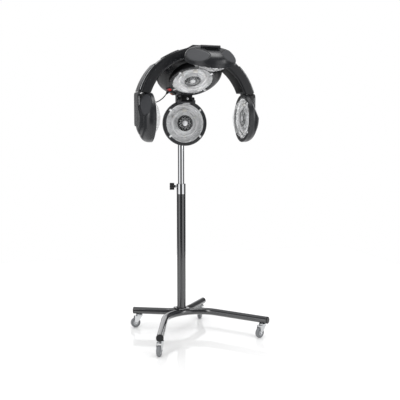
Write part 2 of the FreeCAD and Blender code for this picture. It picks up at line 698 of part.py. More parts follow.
def head_lamp():
    """Ring-shaped infrared tube on its posts."""
    lamp = Part.makeTorus(LAMP_RING_R, LAMP_TUBE_R, Vector(0, 0, -LAMP_DEPTH))
    foot = -REFLECTOR_FLOOR + SEAT_CLEARANCE
    for post in range(LAMP_POSTS):
        turn = 2 * math.pi * (post + 0.25) / LAMP_POSTS
        spot = ((LAMP_RING_R - 3) * math.cos(turn), (LAMP_RING_R - 3) * math.sin(turn))
        lamp = lamp.fuse(rod((*spot, foot), (*spot, -LAMP_DEPTH), LAMP_POST_R))
    return lamp


def head_guard():
    """Round finger guard over the fan."""
    outer = THROAT_R - GUARD_SEAT
    low = -GUARD_DEPTH - GUARD_THICKNESS
    high = -GUARD_DEPTH
    ring = rod((0, 0, low), (0, 0, high), outer).cut(rod((0, 0, low), (0, 0, high), outer - GUARD_RING))
    guard = ring.fuse(rod((0, 0, low), (0, 0, high), GUARD_HUB_R))
    for spoke in range(GUARD_SPOKES):
        bar = block(GUARD_HUB_R - 1, outer - 1, -GUARD_SPOKE_WIDTH / 2, GUARD_SPOKE_WIDTH / 2, low, high)
        bar.rotate(Vector(0, 0, 0), Vector(0, 0, 1), 360.0 * spoke / GUARD_SPOKES)
        guard = guard.fuse(bar)
    return guard.removeSplitter()


def head_fan():
    """Axial fan: hub and pitched blades."""
    low = -FAN_TOP - FAN_LENGTH
    fan = rod((0, 0, low), (0, 0, -FAN_TOP), FAN_HUB_R)
    middle = -FAN_TOP - FAN_LENGTH / 2
    span = rod((0, 0, low), (0, 0, -FAN_TOP), FAN_R)
    for blade in range(FAN_BLADES):
        plate = block(FAN_HUB_R - 2, FAN_R + 2, -FAN_BLADE_CHORD / 2, FAN_BLADE_CHORD / 2,
                      -FAN_BLADE_THICKNESS / 2, FAN_BLADE_THICKNESS / 2)
        plate.rotate(Vector(0, 0, 0), Vector(1, 0, 0), FAN_BLADE_PITCH)
        plate.translate(Vector(0, 0, middle))
        plate.rotate(Vector(0, 0, 0), Vector(0, 0, 1), 360.0 * blade / FAN_BLADES)
        fan = fan.fuse(plate.common(span))
    bore = rod((0, 0, low), (0, 0, -FAN_TOP), SHAFT_R + RUNNING_CLEARANCE)
    return fan.removeSplitter().cut(bore)


def head_places():
    """Where each head sits and which way it looks."""
    crown = math.radians(CROWN_DIP)
    front = math.radians(FRONT_DIP)
    return {
        "rear": place((0, REAR_HEAD_Y, REAR_HEAD_Z), (0, -1, 0), (0, 0, 1)),
        "crown": place((0, CROWN_Y, CROWN_Z), (0, -math.cos(crown), -math.sin(crown)),
                       (0, -math.sin(crown), math.cos(crown))),
        "front": place((0, FRONT_HEAD_Y, FRONT_HEAD_Z), (0, math.cos(front), -math.sin(front)),
                       (0, math.sin(front), math.cos(front))),
        "left": place((-SIDE_HEAD_X, SIDE_HEAD_Y, SIDE_HEAD_Z), (1, 0, 0), (0, 0, 1)),
        "right": place((SIDE_HEAD_X, SIDE_HEAD_Y, SIDE_HEAD_Z), (-1, 0, 0), (0, 0, 1)),
    }


def build_heads(shell_extras, shell_cuts):
    """All five heads; extras are fused to a shell, and then its cuts are taken out."""
    inner = {"lens": head_lens(), "reflector": head_reflector(), "lamp_ring": head_lamp(),
             "fan_guard": head_guard(), "fan": head_fan()}
    for name, seat in head_places().items():
        body = moved(head_shell(FACET_ANGLES[name]), seat)
        extras = shell_extras.get(name, [])
        if extras:
            body = body.fuse(extras).removeSplitter()
        for room in shell_cuts.get(name, []):
            body = body.cut(room)
        export(body, name + "_head_shell")
        for piece, shape in inner.items():
            export(moved(shape, seat), name + "_" + piece)


# ---------------------------------------------------------------- side arms


def arch_ring(inner_r, outer_r, y0, y1):
    """Full ring of the arch between two radii."""
    return rod((0, y0, ARCH_Z), (0, y1, ARCH_Z), outer_r).cut(
        rod((0, y0, ARCH_Z), (0, y1, ARCH_Z), inner_r))


def arch_sector(from_angle, floor_z):
    """Prism beyond an angle from the top, on the +X side, down to a level."""
    turn = math.radians(from_angle)
    rise = floor_z - ARCH_Z
    far = ARCH_OUTER_R * 2
    return [(rise * math.tan(turn), floor_z), (far * math.sin(turn), ARCH_Z + far * math.cos(turn)),
            (far, ARCH_Z + far * math.cos(turn)), (far, floor_z)]


def arm_pin_place():
    """X and Z of the hinge pin that joins an arm to the housing."""
    middle = (ARCH_INNER_R + ARCH_OUTER_R) / 2
    return ARM_HINGE_X, ARCH_Z + math.sqrt(middle ** 2 - ARM_HINGE_X ** 2)


def hinge_angle():
    """Angle of the arm hinge from the top of the arch, in degrees."""
    pin_x, pin_z = arm_pin_place()
    return math.degrees(math.atan2(pin_x, pin_z - ARCH_Z))


def build_arm_right():
    """Hollow arm with its hinge knuckle, ribs and the cross pin for the head."""
    y0 = ARCH_Y - ARCH_WIDTH / 2
    y1 = ARCH_Y + ARCH_WIDTH / 2
    pin_x, pin_z = arm_pin_place()
    knuckle_r = (ARCH_OUTER_R - ARCH_INNER_R) / 2
    band = arch_ring(ARCH_INNER_R, ARCH_OUTER_R, y0, y1)
    hem_z = ARM_END_Z - ARM_HEM_DROP
    band = band.common(prism_y(arch_sector(hinge_angle(), hem_z), y0, y1))
    long_edges = [e for e in band.Edges
                  if e.BoundBox.YLength < 0.01 and e.Length > ARCH_INNER_R / 2]
    band = band.makeFillet(ARCH_EDGE_R, long_edges)
    hollow = arch_ring(ARCH_INNER_R + ARM_WALL, ARCH_OUTER_R - ARM_WALL, y0 + ARM_WALL, y1 - ARM_WALL)
    hollow_start = hinge_angle() + math.degrees(knuckle_r / ARCH_INNER_R) + 3
    hollow = hollow.common(prism_y(arch_sector(hollow_start, hem_z - 1), y0, y1))
    arm = band.cut(hollow)
    flat_end = y0 + ARM_HEM_FLAT
    slope_end = flat_end + ARM_HEM_SLOPE
    arm = arm.cut(prism_x([
        (flat_end, hem_z - 1), (flat_end, hem_z), (slope_end, ARM_END_Z), (y1 + 1, ARM_END_Z),
        (y1 + 1, hem_z - 1)], 0, ARCH_OUTER_R))

    ear = ARM_EAR + HINGE_END_CLEARANCE
    for a, b in ((y0 - 1, y0 + ear), (y1 - ear, y1 + 1)):
        arm = arm.cut(rod((pin_x, a, pin_z), (pin_x, b, pin_z), knuckle_r + KNUCKLE_CLEARANCE))
    knuckle = rod((pin_x, y0 + ear, pin_z), (pin_x, y1 - ear, pin_z), knuckle_r)
    ribs = []
    for rib in range(ARM_RIBS):
        bar = block(-ARM_RIB_WIDTH / 2, ARM_RIB_WIDTH / 2, y0 + 12, y1 - 12,
                    ARCH_Z + ARCH_OUTER_R - 1, ARCH_Z + ARCH_OUTER_R + ARM_RIB_HEIGHT)
        bar.rotate(Vector(0, 0, ARCH_Z), Vector(0, 1, 0), ARM_RIB_START + ARM_RIB_STEP * rib)
        ribs.append(bar)
    cross_pin = rod((HEAD_PIN_X, y0 + 2, HEAD_PIN_Z), (HEAD_PIN_X, y1 - 2, HEAD_PIN_Z), HEAD_PIN_R)
    arm = arm.fuse([knuckle, cross_pin] + ribs).removeSplitter()
    bore = rod((pin_x, y0, pin_z), (pin_x, y1, pin_z), ARM_PIN_R + RUNNING_CLEARANCE)
    return arm.cut([bore] + side_head_room())


def side_head_room():
    """Room that the right arm's end leaves for the shell, over the whole tilt."""
    shell = moved(cup(-SIDE_ROOM), head_places()["right"])
    rooms = []
    for step in range(SIDE_ROOM_STEPS + 1):
        room = shell.copy()
        room.rotate(Vector(HEAD_PIN_X, 0, HEAD_PIN_Z), Vector(0, -1, 0),
                    SIDE_TILT * step / SIDE_ROOM_STEPS)
        rooms.append(room)
    return rooms


def build_strip_right():
    """Outer cover strip that lies on the lower half of an arm."""
    y0 = ARCH_Y - STRIP_WIDTH / 2
    y1 = ARCH_Y + STRIP_WIDTH / 2
    inner = ARCH_OUTER_R + STRIP_GAP
    strip = arch_ring(inner, inner + STRIP_THICKNESS, y0, y1)
    strip = strip.common(prism_y(arch_sector(STRIP_START_ANGLE, ARM_END_Z), y0, y1))
    top_edges = [e for e in strip.Edges
                 if e.BoundBox.YLength < 0.01 and e.Length > ARCH_INNER_R / 2
                 and math.hypot(e.CenterOfMass.x, e.CenterOfMass.z - ARCH_Z) > inner + 1]
    outer_edges = []
    for edge in top_edges:
        spot = edge.valueAt(edge.FirstParameter)
        if math.hypot(spot.x, spot.z - ARCH_Z) > inner + STRIP_THICKNESS - 0.1:
            outer_edges.append(edge)
    if outer_edges:
        strip = strip.makeFillet(STRIP_THICKNESS * 0.4, outer_edges)
    return strip


def side_head_extras_right():
    """Lug up into the arm and the flat strap behind the right head."""
    back_x = SIDE_HEAD_X + HEAD_DEPTH
    half = HEAD_LUG_WIDTH / 2
    near = ARCH_Y - half
    far = ARCH_Y + half
    lug = rod((HEAD_PIN_X, near, HEAD_PIN_Z), (HEAD_PIN_X, far, HEAD_PIN_Z), HEAD_LUG_R)
    shell_top = SIDE_HEAD_Z + HEAD_R
    right = head_places()["right"]
    inside = moved(cup(HEAD_WALL / 2, FACET_ANGLES["right"]), right)
    foot = HEAD_LUG_R - HEAD_LUG_EASE
    lug = lug.fuse(block(HEAD_PIN_X - foot, HEAD_PIN_X + foot, near, far,
                         shell_top - HEAD_LUG_ROOT, HEAD_PIN_Z))
    lug = lug.cut(inside)
    lug = lug.cut(rod((HEAD_PIN_X, near, HEAD_PIN_Z), (HEAD_PIN_X, far, HEAD_PIN_Z),
                      HEAD_PIN_R + RUNNING_CLEARANCE))
    strap = rounded_plate(STRAP_LENGTH, STRIP_WIDTH, STRAP_THICKNESS, STRAP_CORNER_R)
    seat = place((back_x, ARCH_Y, (STRAP_TOP + STRAP_BOTTOM) / 2), (1, 0, 0), (0, 1, 0))
    strap_near = ARCH_Y - STRIP_WIDTH / 2
    strap_far = ARCH_Y + STRIP_WIDTH / 2
    strap = moved(strap, seat).cut(prism_y([
        (back_x - 1, STRAP_TOP + 1), (back_x - 1, STRAP_TOP - STRAP_CHAMFER - 1),
        (back_x + STRAP_CHAMFER + 1, STRAP_TOP + 1)], strap_near - 1, strap_far + 1))
    web = block(back_x - WEB_DEPTH, back_x + 1, strap_near, strap_far, SIDE_HEAD_Z,
                STRAP_TOP - WEB_TOP_DROP)
    web = web.common(rod((SIDE_HEAD_X, SIDE_HEAD_Y, SIDE_HEAD_Z),
                         (back_x + STRAP_THICKNESS, SIDE_HEAD_Y, SIDE_HEAD_Z), WEB_R))
    web = web.cut(inside)
    cap = turned((0, -HEAD_DEPTH + HEAD_WALL / 2), [
        (HEAD_BACK_R, -HEAD_DEPTH + HEAD_WALL / 2), (BACK_CAP_R, -HEAD_SHOULDER_DEPTH + 1),
        ((BACK_CAP_R - 14, -HEAD_DEPTH - 2), (BACK_CAP_FLAT_R, -HEAD_DEPTH - BACK_CAP_RISE)),
        (0, -HEAD_DEPTH - BACK_CAP_RISE)])
    for angle in FACET_ANGLES["right"]:
        cap = cap.cut(facet_room(angle, 0))
    return [lug, strap, web, moved(cap, right)]


# ---------------------------------------------------------------- housing


def bowl_egg(inset, crown):
    """Flattened egg of the housing, inset for its inside."""
    ball = Part.makeSphere(1.0)
    matrix = Matrix()
    matrix.scale(BOWL_HALF_WIDTH - inset, BOWL_HALF_LENGTH - inset, BOWL_HALF_DEPTH - inset)
    egg = ball.transformGeometry(matrix)
    egg.translate(Vector(0, BOWL_DROP, BOWL_BACK))
    return moved(egg, crown)


def mast_head_room():
    """Room that the housing leaves for the mast head, over the whole tilt."""
    half = TILT_LUG_WIDTH / 2 + SIDE_CLEARANCE + TILT_EAR_THICKNESS + BOWL_TAIL_CLEARANCE
    ears = TILT_EAR_R + BOWL_TAIL_CLEARANCE
    socket = MAST_SOCKET_R + BOWL_TAIL_CLEARANCE
    room = rod((-half, 0, TILT_Z), (half, 0, TILT_Z), ears)
    room = room.fuse(block(-half, half, -ears, ears, MAST_TOP, TILT_Z))
    return room.fuse(rod((0, 0, MAST_SOCKET_BOTTOM), (0, 0, MAST_TOP + 12), socket))


def panel_place(crown):
    """Placement of the panel's underside, square to the housing's surface."""
    share_x = PANEL_SIDE / BOWL_HALF_WIDTH
    share_y = (PANEL_DROP - BOWL_DROP) / BOWL_HALF_LENGTH
    share_z = math.sqrt(1 - share_x ** 2 - share_y ** 2)
    spot = Vector(PANEL_SIDE, PANEL_DROP, BOWL_BACK + BOWL_HALF_DEPTH * share_z)
    outward = Vector(share_x / BOWL_HALF_WIDTH, share_y / BOWL_HALF_LENGTH, share_z / BOWL_HALF_DEPTH)
    outward.normalize()
    lean = math.radians(PANEL_LEAN)
    along = Vector(math.cos(lean), math.sin(lean), 0)
    along = along - outward * along.dot(outward)
    top = outward.cross(along).normalize()
    local = place(spot + outward * PANEL_PAD_RISE, outward, top)
    return crown.multiply(local)


def build_housing():
    """Bowl behind the crown head, top cover, hinge block and control panel."""
    crown = head_places()["crown"]
    egg = bowl_egg(0, crown)
    bowl = egg.cut([bowl_egg(BOWL_WALL, crown), mast_head_room()])
    lug_half = TILT_LUG_WIDTH / 2
    lug = rod((-lug_half, 0, TILT_Z), (lug_half, 0, TILT_Z), TILT_EAR_R - 2)
    lug = lug.fuse(prism_x([(TILT_LUG_ROOT_Y, TILT_Z - 14), (0, TILT_Z - 14), (0, TILT_Z + 14),
                            (TILT_LUG_ROOT_Y + 6, TILT_Z + 30)], -lug_half, lug_half))
    pad_seat = panel_place(crown)
    pad = rounded_plate(PANEL_LENGTH + 2 * PANEL_PAD_RIM, PANEL_WIDTH + 2 * PANEL_PAD_RIM,
                        PANEL_PAD_DEPTH, PANEL_CORNER_R + PANEL_PAD_RIM)
    pad.translate(Vector(0, 0, -PANEL_PAD_DEPTH))
    gland_foot = Vector(*LEAD_POINTS[0])
    gland_way = (Vector(*LEAD_POINTS[1]) - gland_foot).normalize()
    gland = Part.makeCone(GLAND_R + 2, LEAD_R + 1.5, GLAND_LENGTH, gland_foot - gland_way * GLAND_LENGTH,
                          gland_way)
    bowl = bowl.fuse([lug, moved(pad, pad_seat), gland]).removeSplitter()
    bowl = bowl.cut(moved(crown_room(), crown))
    arch_front = ARCH_Y - ARCH_WIDTH / 2 - ARCH_ROOM_AHEAD
    arch_back = ARCH_Y + ARCH_WIDTH / 2 + 1
    arch_room = arch_ring(ARCH_INNER_R - 1, ARCH_OUTER_R * 2, arch_front, arch_back)
    arch_room = arch_room.common(block(-2 * ARCH_OUTER_R, 2 * ARCH_OUTER_R, arch_front, arch_back,
                                       ARCH_Z + ARCH_ROOM_RISE, ARCH_Z + 2 * ARCH_OUTER_R))
    bowl = bowl.cut(arch_room)
    bowl = bowl.cut(rod((-lug_half - 1, 0, TILT_Z), (lug_half + 1, 0, TILT_Z),
                        TILT_PIN_R + RUNNING_CLEARANCE))

    panel, keys, pockets = build_panel(pad_seat)
    bowl = bowl.cut(pockets)
    export(sorted(bowl.Solids, key=lambda part: -part.Volume)[0], "housing_bowl")
    export(panel, "control_panel")
    for name, key in keys.items():
        export(key, name)

    y0 = ARCH_Y - ARCH_WIDTH / 2
    y1 = ARCH_Y + ARCH_WIDTH / 2
    pin_x, pin_z = arm_pin_place()
    knuckle_r = (ARCH_OUTER_R - ARCH_INNER_R) / 2
    turn = math.radians(hinge_angle())
    far = ARCH_OUTER_R * 2
    centre_wedge = prism_y([(0, ARCH_Z), (far * math.sin(turn), ARCH_Z + far * math.cos(turn)),
                            (-far * math.sin(turn), ARCH_Z + far * math.cos(turn))], y0, y1)
    cover = arch_ring(ARCH_INNER_R, ARCH_OUTER_R, y0, y1).common(centre_wedge)
    top_z = ARCH_Z + ARCH_OUTER_R
    hump = prism_x([
        (y0 + 2, top_z - 12), (y0 + 12, HUMP_TOP - 3), (y0 + 24, HUMP_TOP), (ARCH_Y + 16, HUMP_TOP),
        (y1, HUMP_TOP - 8), (HUMP_BACK_Y - 16, HUMP_BACK_TOP + 7), (HUMP_BACK_Y, HUMP_BACK_TOP),
        (HUMP_BACK_Y, HUMP_FLOOR), (y1 - 4, HUMP_FLOOR), (y1 - 4, top_z - 12)],
        -HUMP_HALF_WIDTH, HUMP_HALF_WIDTH)
    shoulders = prism_y([
        (-HUMP_HALF_WIDTH, HUMP_FLOOR), (HUMP_HALF_WIDTH, HUMP_FLOOR), (HUMP_HALF_WIDTH, top_z - 6),
        (HUMP_TOP_HALF_WIDTH, HUMP_TOP), (-HUMP_TOP_HALF_WIDTH, HUMP_TOP),
        (-HUMP_HALF_WIDTH, top_z - 6)], y0, HUMP_BACK_Y)
    hump = hump.common(shoulders).cut(bowl_egg(-COVER_GAP, crown))
    hump = sorted(hump.Solids, key=lambda part: -part.BoundBox.ZMax)[0]
    cover = cover.fuse(hump)
    ears = []
    for side in (-1, 1):
        cover = cover.cut(rod((side * pin_x, y0 + ARM_EAR, pin_z), (side * pin_x, y1 - ARM_EAR, pin_z),
                              knuckle_r + KNUCKLE_CLEARANCE))
        for a, b in ((y0, y0 + ARM_EAR), (y1 - ARM_EAR, y1)):
            ears.append(rod((side * pin_x, a, pin_z), (side * pin_x, b, pin_z), knuckle_r))
        ears.append(rod((side * pin_x, y0, pin_z), (side * pin_x, y1, pin_z), ARM_PIN_R))
    half = FRONT_KNUCKLE_WIDTH / 2 + SIDE_CLEARANCE
    for side in (-1, 1):
        a = side * half
        b = side * (half + FRONT_EAR)
        low = min(a, b)
        high = max(a, b)
        ear = rod((low, FRONT_PIN_Y, FRONT_PIN_Z), (high, FRONT_PIN_Y, FRONT_PIN_Z), FRONT_KNUCKLE_R - 1)
        ear = ear.fuse(block(low, high, FRONT_PIN_Y, y0 + 6, FRONT_PIN_Z - 14, FRONT_PIN_Z + 14))
        ears.append(ear)
    ears.append(rod((-half - 2, FRONT_PIN_Y, FRONT_PIN_Z), (half + 2, FRONT_PIN_Y, FRONT_PIN_Z), FRONT_PIN_R))
    cover = cover.fuse(ears).removeSplitter()
    export(cover, "housing_cover")

    block_half = NECK_HALF_WIDTH - NECK_CHEEK - SIDE_CLEARANCE
    hinge = block(-block_half, block_half, HINGE_BLOCK_FRONT_Y, HINGE_BLOCK_BACK_Y,
                  NECK_PIN_Z, CROWN_Z)
    hinge = hinge.fuse(rod((-block_half, NECK_PIN_Y, NECK_PIN_Z), (block_half, NECK_PIN_Y, NECK_PIN_Z),
                           HINGE_EYE_R))
    hinge = hinge.cut(bowl_egg(-COVER_GAP, crown))
    hinge = sorted(hinge.Solids, key=lambda part: part.BoundBox.ZMin)[0]
    pin = rod((-NECK_HALF_WIDTH - 2, NECK_PIN_Y, NECK_PIN_Z), (NECK_HALF_WIDTH + 2, NECK_PIN_Y, NECK_PIN_Z),
              NECK_PIN_R)
    export(hinge.fuse(pin).removeSplitter(), "rear_hinge_block")


def build_panel(seat):
    """Panel plate, its keys, and the pockets behind them."""
    plate = rounded_plate(PANEL_LENGTH, PANEL_WIDTH, PANEL_THICKNESS, PANEL_CORNER_R)
    plate.translate(Vector(0, 0, COVER_GAP))
    top = PANEL_THICKNESS + COVER_GAP
    keys = {}
    pockets = []
    for index, name in enumerate(KEY_NAMES):
        x = (index - 1) * KEY_SPACING
        plate = plate.cut(rod((x, KEY_ROW, -1), (x, KEY_ROW, top + 1), KEY_R + KEY_CLEARANCE))
        key = rod((x, KEY_ROW, COVER_GAP), (x, KEY_ROW, top + KEY_PROUD), KEY_R)
        rim = [e for e in key.Edges if e.Closed and e.BoundBox.ZMin > top]
        keys[name] = moved(key.makeFillet(0.8, rim), seat)
        pocket = rod((x, KEY_ROW, -KEY_TRAVEL_ROOM), (x, KEY_ROW, 1), KEY_R + 0.6)
        pockets.append(moved(pocket, seat))
    return moved(plate, seat), keys, pockets


def build_mast_head():
    """Socket on top of the mast with two ears and the tilt pin."""
    inner = TILT_LUG_WIDTH / 2 + SIDE_CLEARANCE
    outer = inner + TILT_EAR_THICKNESS
    head = rod((0, 0, MAST_SOCKET_BOTTOM), (0, 0, MAST_TOP + 12), MAST_SOCKET_R)
    head = head.makeFillet(2.0, [e for e in head.Edges if e.BoundBox.ZMax < MAST_SOCKET_BOTTOM + 1])
    for side in (-1, 1):
        low = min(side * inner, side * outer)
        high = max(side * inner, side * outer)
        head = head.fuse(rod((low, 0, TILT_Z), (high, 0, TILT_Z), TILT_EAR_R))
        head = head.fuse(block(low, high, -TILT_EAR_R, TILT_EAR_R, MAST_TOP + 4, TILT_Z))
    head = head.fuse(block(-outer, outer, -TILT_EAR_R, TILT_EAR_R, MAST_TOP + 4, MAST_TOP + 16))
    head = head.fuse(rod((-outer - 2, 0, TILT_Z), (outer + 2, 0, TILT_Z), TILT_PIN_R)).removeSplitter()
    socket = rod((0, 0, MAST_SOCKET_BOTTOM - 1), (0, 0, MAST_TOP + 0.3), MAST_R + RUNNING_CLEARANCE)
    export(head.cut(socket), "mast_head")


def rear_neck():
    """Neck of the rear head: a floor, a skirt over the shell and two cheeks."""
    y0 = NECK_FRONT_Y
    y1 = NECK_BACK_Y
    w = NECK_HALF_WIDTH
    floor = block(-w, w, y0, y1, NECK_BOTTOM, NECK_BOTTOM + NECK_FLOOR)
    floor = floor.fuse(block(-w, w, REAR_HEAD_Y + 1.6, y1, NECK_SKIRT_BOTTOM, NECK_BOTTOM + 1))
    for side in (-1, 1):
        low = min(side * w, side * (w - NECK_CHEEK))
        high = max(side * w, side * (w - NECK_CHEEK))
        cheek = rod((low, NECK_PIN_Y, NECK_PIN_Z), (high, NECK_PIN_Y, NECK_PIN_Z), NECK_CHEEK_R)
        cheek = cheek.fuse(block(low, high, y0, y1, NECK_BOTTOM, NECK_PIN_Z - 2))
        floor = floor.fuse(cheek)
    floor = floor.removeSplitter()
    floor = floor.cut(moved(cup(HEAD_WALL / 2, FACET_ANGLES["rear"]), head_places()["rear"]))
    bore = rod((-w, NECK_PIN_Y, NECK_PIN_Z), (w, NECK_PIN_Y, NECK_PIN_Z), NECK_PIN_R + RUNNING_CLEARANCE)
    return floor.cut(bore)


def build_front_arm():
    """Knuckle and tongue that carry the front head."""
    front = head_places()["front"]
    half = FRONT_KNUCKLE_WIDTH / 2
    arm = rod((-half, FRONT_PIN_Y, FRONT_PIN_Z), (half, FRONT_PIN_Y, FRONT_PIN_Z), FRONT_KNUCKLE_R)
    arm_end = FRONT_PIN_Y - FRONT_ARM_REACH
    arm = arm.fuse(prism_x([
        (FRONT_PIN_Y, FRONT_PIN_Z - FRONT_KNUCKLE_R), (FRONT_PIN_Y, FRONT_PIN_Z + FRONT_KNUCKLE_R),
        (arm_end, FRONT_PIN_Z + 11), (arm_end, FRONT_PIN_Z - 26)],
        -half, half))
    arm = arm.cut(moved(cup(0), front)).removeSplitter()
    arm = sorted(arm.Solids, key=lambda part: -part.Volume)[0]
    arm = arm.cut(rod((-half, FRONT_PIN_Y, FRONT_PIN_Z), (half, FRONT_PIN_Y, FRONT_PIN_Z),
                      FRONT_PIN_R + RUNNING_CLEARANCE))
    export(arm, "front_arm")


def front_handle():
    """Grab bar on two feet, and the liner of the finger recess below it."""
    front = head_places()["front"]
    back = -HEAD_DEPTH
    bar_z = back - HANDLE_RISE + HANDLE_BAR_R
    half = HANDLE_LENGTH / 2
    bar = rod((-half, HANDLE_BACK, bar_z), (half, HANDLE_BACK, bar_z), HANDLE_BAR_R)
    for side in (-1, 1):
        foot_x = side * (half - HANDLE_BAR_R)
        bar = bar.fuse(rod((foot_x, HANDLE_BACK, bar_z), (foot_x, HANDLE_BACK, back + 8), HANDLE_BAR_R))
    bar = bar.removeSplitter().cut(cup(HEAD_WALL * 0.5))
    liner = rounded_plate(FINGER_LENGTH + 2 * HEAD_WALL, FINGER_WIDTH + 2 * HEAD_WALL,
                          FINGER_DEPTH + HEAD_WALL - 1, FINGER_CORNER_R + HEAD_WALL)
    liner.translate(Vector(0, FINGER_BACK, back + 1))
    return [moved(bar, front), moved(liner, front)]


def finger_room():
    """Recess under and in front of the grab bar."""
    front = head_places()["front"]
    room = rounded_plate(FINGER_LENGTH, FINGER_WIDTH, FINGER_DEPTH + 1, FINGER_CORNER_R)
    room.translate(Vector(0, FINGER_BACK, -HEAD_DEPTH - 1))
    return moved(room, front)


# ---------------------------------------------------------------- lead


def build_lead():
    """Slack lead from the housing to the left arm, as straight runs and tangent arcs."""
    points = [Vector(*p) for p in LEAD_POINTS]
    edges = []
    here = points[0]
    for before, corner, after in zip(points, points[1:], points[2:]):
        back = (before - corner).normalize()
        ahead = (after - corner).normalize()
        run = LEAD_RUN_SHARE * min((before - corner).Length, (after - corner).Length)
        turn = math.pi - back.getAngle(ahead)
        radius = run / math.tan(turn / 2)
        start = corner + back * run
        finish = corner + ahead * run
        bisector = (back + ahead).normalize()
        centre = corner + bisector * (radius / math.cos(turn / 2))
        middle = centre - bisector * radius
        edges.append(Part.makeLine(here, start))
        edges.append(Part.Arc(start, middle, finish).toShape())
        here = finish
    edges.append(Part.makeLine(here, points[-1]))
    path = Part.Wire(edges)
    section = Part.Wire(Part.makeCircle(LEAD_R, points[0], points[1] - points[0]))
    lead = path.makePipeShell([section], True, False)
    print("lead length %.1f mm" % path.Length)
    export(lead, "left_head_lead")


def lead_socket():
    """Gland in the inner corner of the left arm that takes the lead's end."""
    x, y, z = LEAD_POINTS[-1]
    arm_back = ARCH_Y + ARCH_WIDTH / 2
    end = Vector(x, y, z)
    way = (end - Vector(*LEAD_POINTS[-2])).normalize()
    nose = rod(tuple(end), tuple(end + way * GLAND_LENGTH), GLAND_R - 1)
    pad = block(x - GLAND_R - 2, x + GLAND_R + 2, y - GLAND_R - 2, arm_back - 1, z + 8, z + 18)
    return nose.fuse(pad)


# ---------------------------------------------------------------- build everything


def main():
    """Write every node."""
    os.makedirs("parts", exist_ok=True)
    build_stand()
    for name, (end, outward) in leg_ends().items():
        build_castor(name, end, outward)
    right_extras = side_head_extras_right()
    build_heads({
        "rear": [rear_neck()],
        "front": front_handle(),
        "right": right_extras,
        "left": [mirrored(shape) for shape in right_extras],
    }, {"front": [finger_room()]})
    arm = build_arm_right()
    strip = build_strip_right()
    export(arm, "right_arm")
    export(strip, "right_arm_cover")
    export(mirrored(arm).fuse(lead_socket()).removeSplitter(), "left_arm")
    export(mirrored(strip), "left_arm_cover")
    build_housing()
    build_mast_head()
    build_front_arm()
    build_lead()


main()
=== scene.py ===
import json
import math

import bmesh
import bpy
from mathutils import Matrix, Vector


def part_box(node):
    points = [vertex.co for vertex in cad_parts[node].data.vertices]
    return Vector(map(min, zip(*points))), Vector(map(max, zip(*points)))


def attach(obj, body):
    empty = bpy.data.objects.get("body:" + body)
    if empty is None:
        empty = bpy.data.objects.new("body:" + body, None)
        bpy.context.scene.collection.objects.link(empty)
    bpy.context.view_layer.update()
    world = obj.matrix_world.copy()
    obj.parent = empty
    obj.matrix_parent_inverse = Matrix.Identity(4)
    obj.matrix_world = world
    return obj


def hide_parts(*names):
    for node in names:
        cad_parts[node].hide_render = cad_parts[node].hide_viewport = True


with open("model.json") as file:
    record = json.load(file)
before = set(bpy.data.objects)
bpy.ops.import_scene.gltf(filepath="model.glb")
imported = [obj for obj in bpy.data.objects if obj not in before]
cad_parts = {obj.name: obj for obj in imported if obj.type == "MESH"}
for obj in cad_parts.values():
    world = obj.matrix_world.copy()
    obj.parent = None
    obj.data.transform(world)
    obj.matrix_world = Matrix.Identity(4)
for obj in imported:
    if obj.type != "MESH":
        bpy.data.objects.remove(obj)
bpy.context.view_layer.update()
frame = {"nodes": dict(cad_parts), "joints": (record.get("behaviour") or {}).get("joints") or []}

# %% [markdown]
# Hair colour processor
# ---------------------
# The CAD parts are already in place.  This script gives each of them a finish,
# adds the fine parts that a CAD solid leaves plain (dished reflectors, lattice
# grilles, clear domes, clips, screws, display, seams) and lights the result.
# Lengths in the helpers are millimetres in a part's own frame.  A seat matrix
# takes them to metres in the frame of the CAD.

# %% frame
MM = 0.001
NODES = frame["nodes"]
JOINTS = {joint["name"]: joint for joint in frame["joints"]}

# %% [markdown]
# Camera
# ------
# A longish lens just above the lower edge of the side heads looks slightly down
# and sees the hood from its open front, a little from the left.  A short lens
# close by would spread the castors and swell the front head, so the camera
# stands well back.  Its turn is worked out from the direction in which it looks,
# which needs no tracking constraint.

# %% camera
CAMERA_AT = Vector((-0.8467, -3.1838, 0.987))
CAMERA_HEADING = (0.2854, 0.9584)
CAMERA_DROP = 5.644
CAMERA_LENS = 58.85
CAMERA_SENSOR = 36.0
CAMERA_SHIFT = -0.0009

drop = math.radians(CAMERA_DROP)
look = Vector((CAMERA_HEADING[0] * math.cos(drop), CAMERA_HEADING[1] * math.cos(drop), -math.sin(drop)))
camera_data = bpy.data.cameras.new("camera")
camera_data.lens = CAMERA_LENS
camera_data.sensor_width = CAMERA_SENSOR
camera_data.shift_x = CAMERA_SHIFT
camera_data.clip_end = 60.0
camera = bpy.data.objects.new("camera", camera_data)
camera.location = CAMERA_AT
camera.rotation_mode = "QUATERNION"
camera.rotation_quaternion = look.to_track_quat("-Z", "Y")
bpy.context.scene.collection.objects.link(camera)
bpy.context.scene.camera = camera
bpy.context.scene.view_settings.view_transform = "Standard"
print("camera", tuple(round(v, 3) for v in camera.location))

# %% [markdown]
# Node helpers
# ------------
# Every finish is a Principled shader with a few nodes in front of it.  Making
# them one by one takes many lines, so one helper makes a node with its settings
# and another an empty node group with its sockets.

# %% node helpers


def add_node(tree, kind, **settings):
    """New node with its settings; a key that starts with in_ sets an input."""
    node = tree.nodes.new(kind)
    for key, value in settings.items():
        if key.startswith("in_"):
            node.inputs[key[3:].replace("_", " ")].default_value = value
        else:
            setattr(node, key, value)
    return node


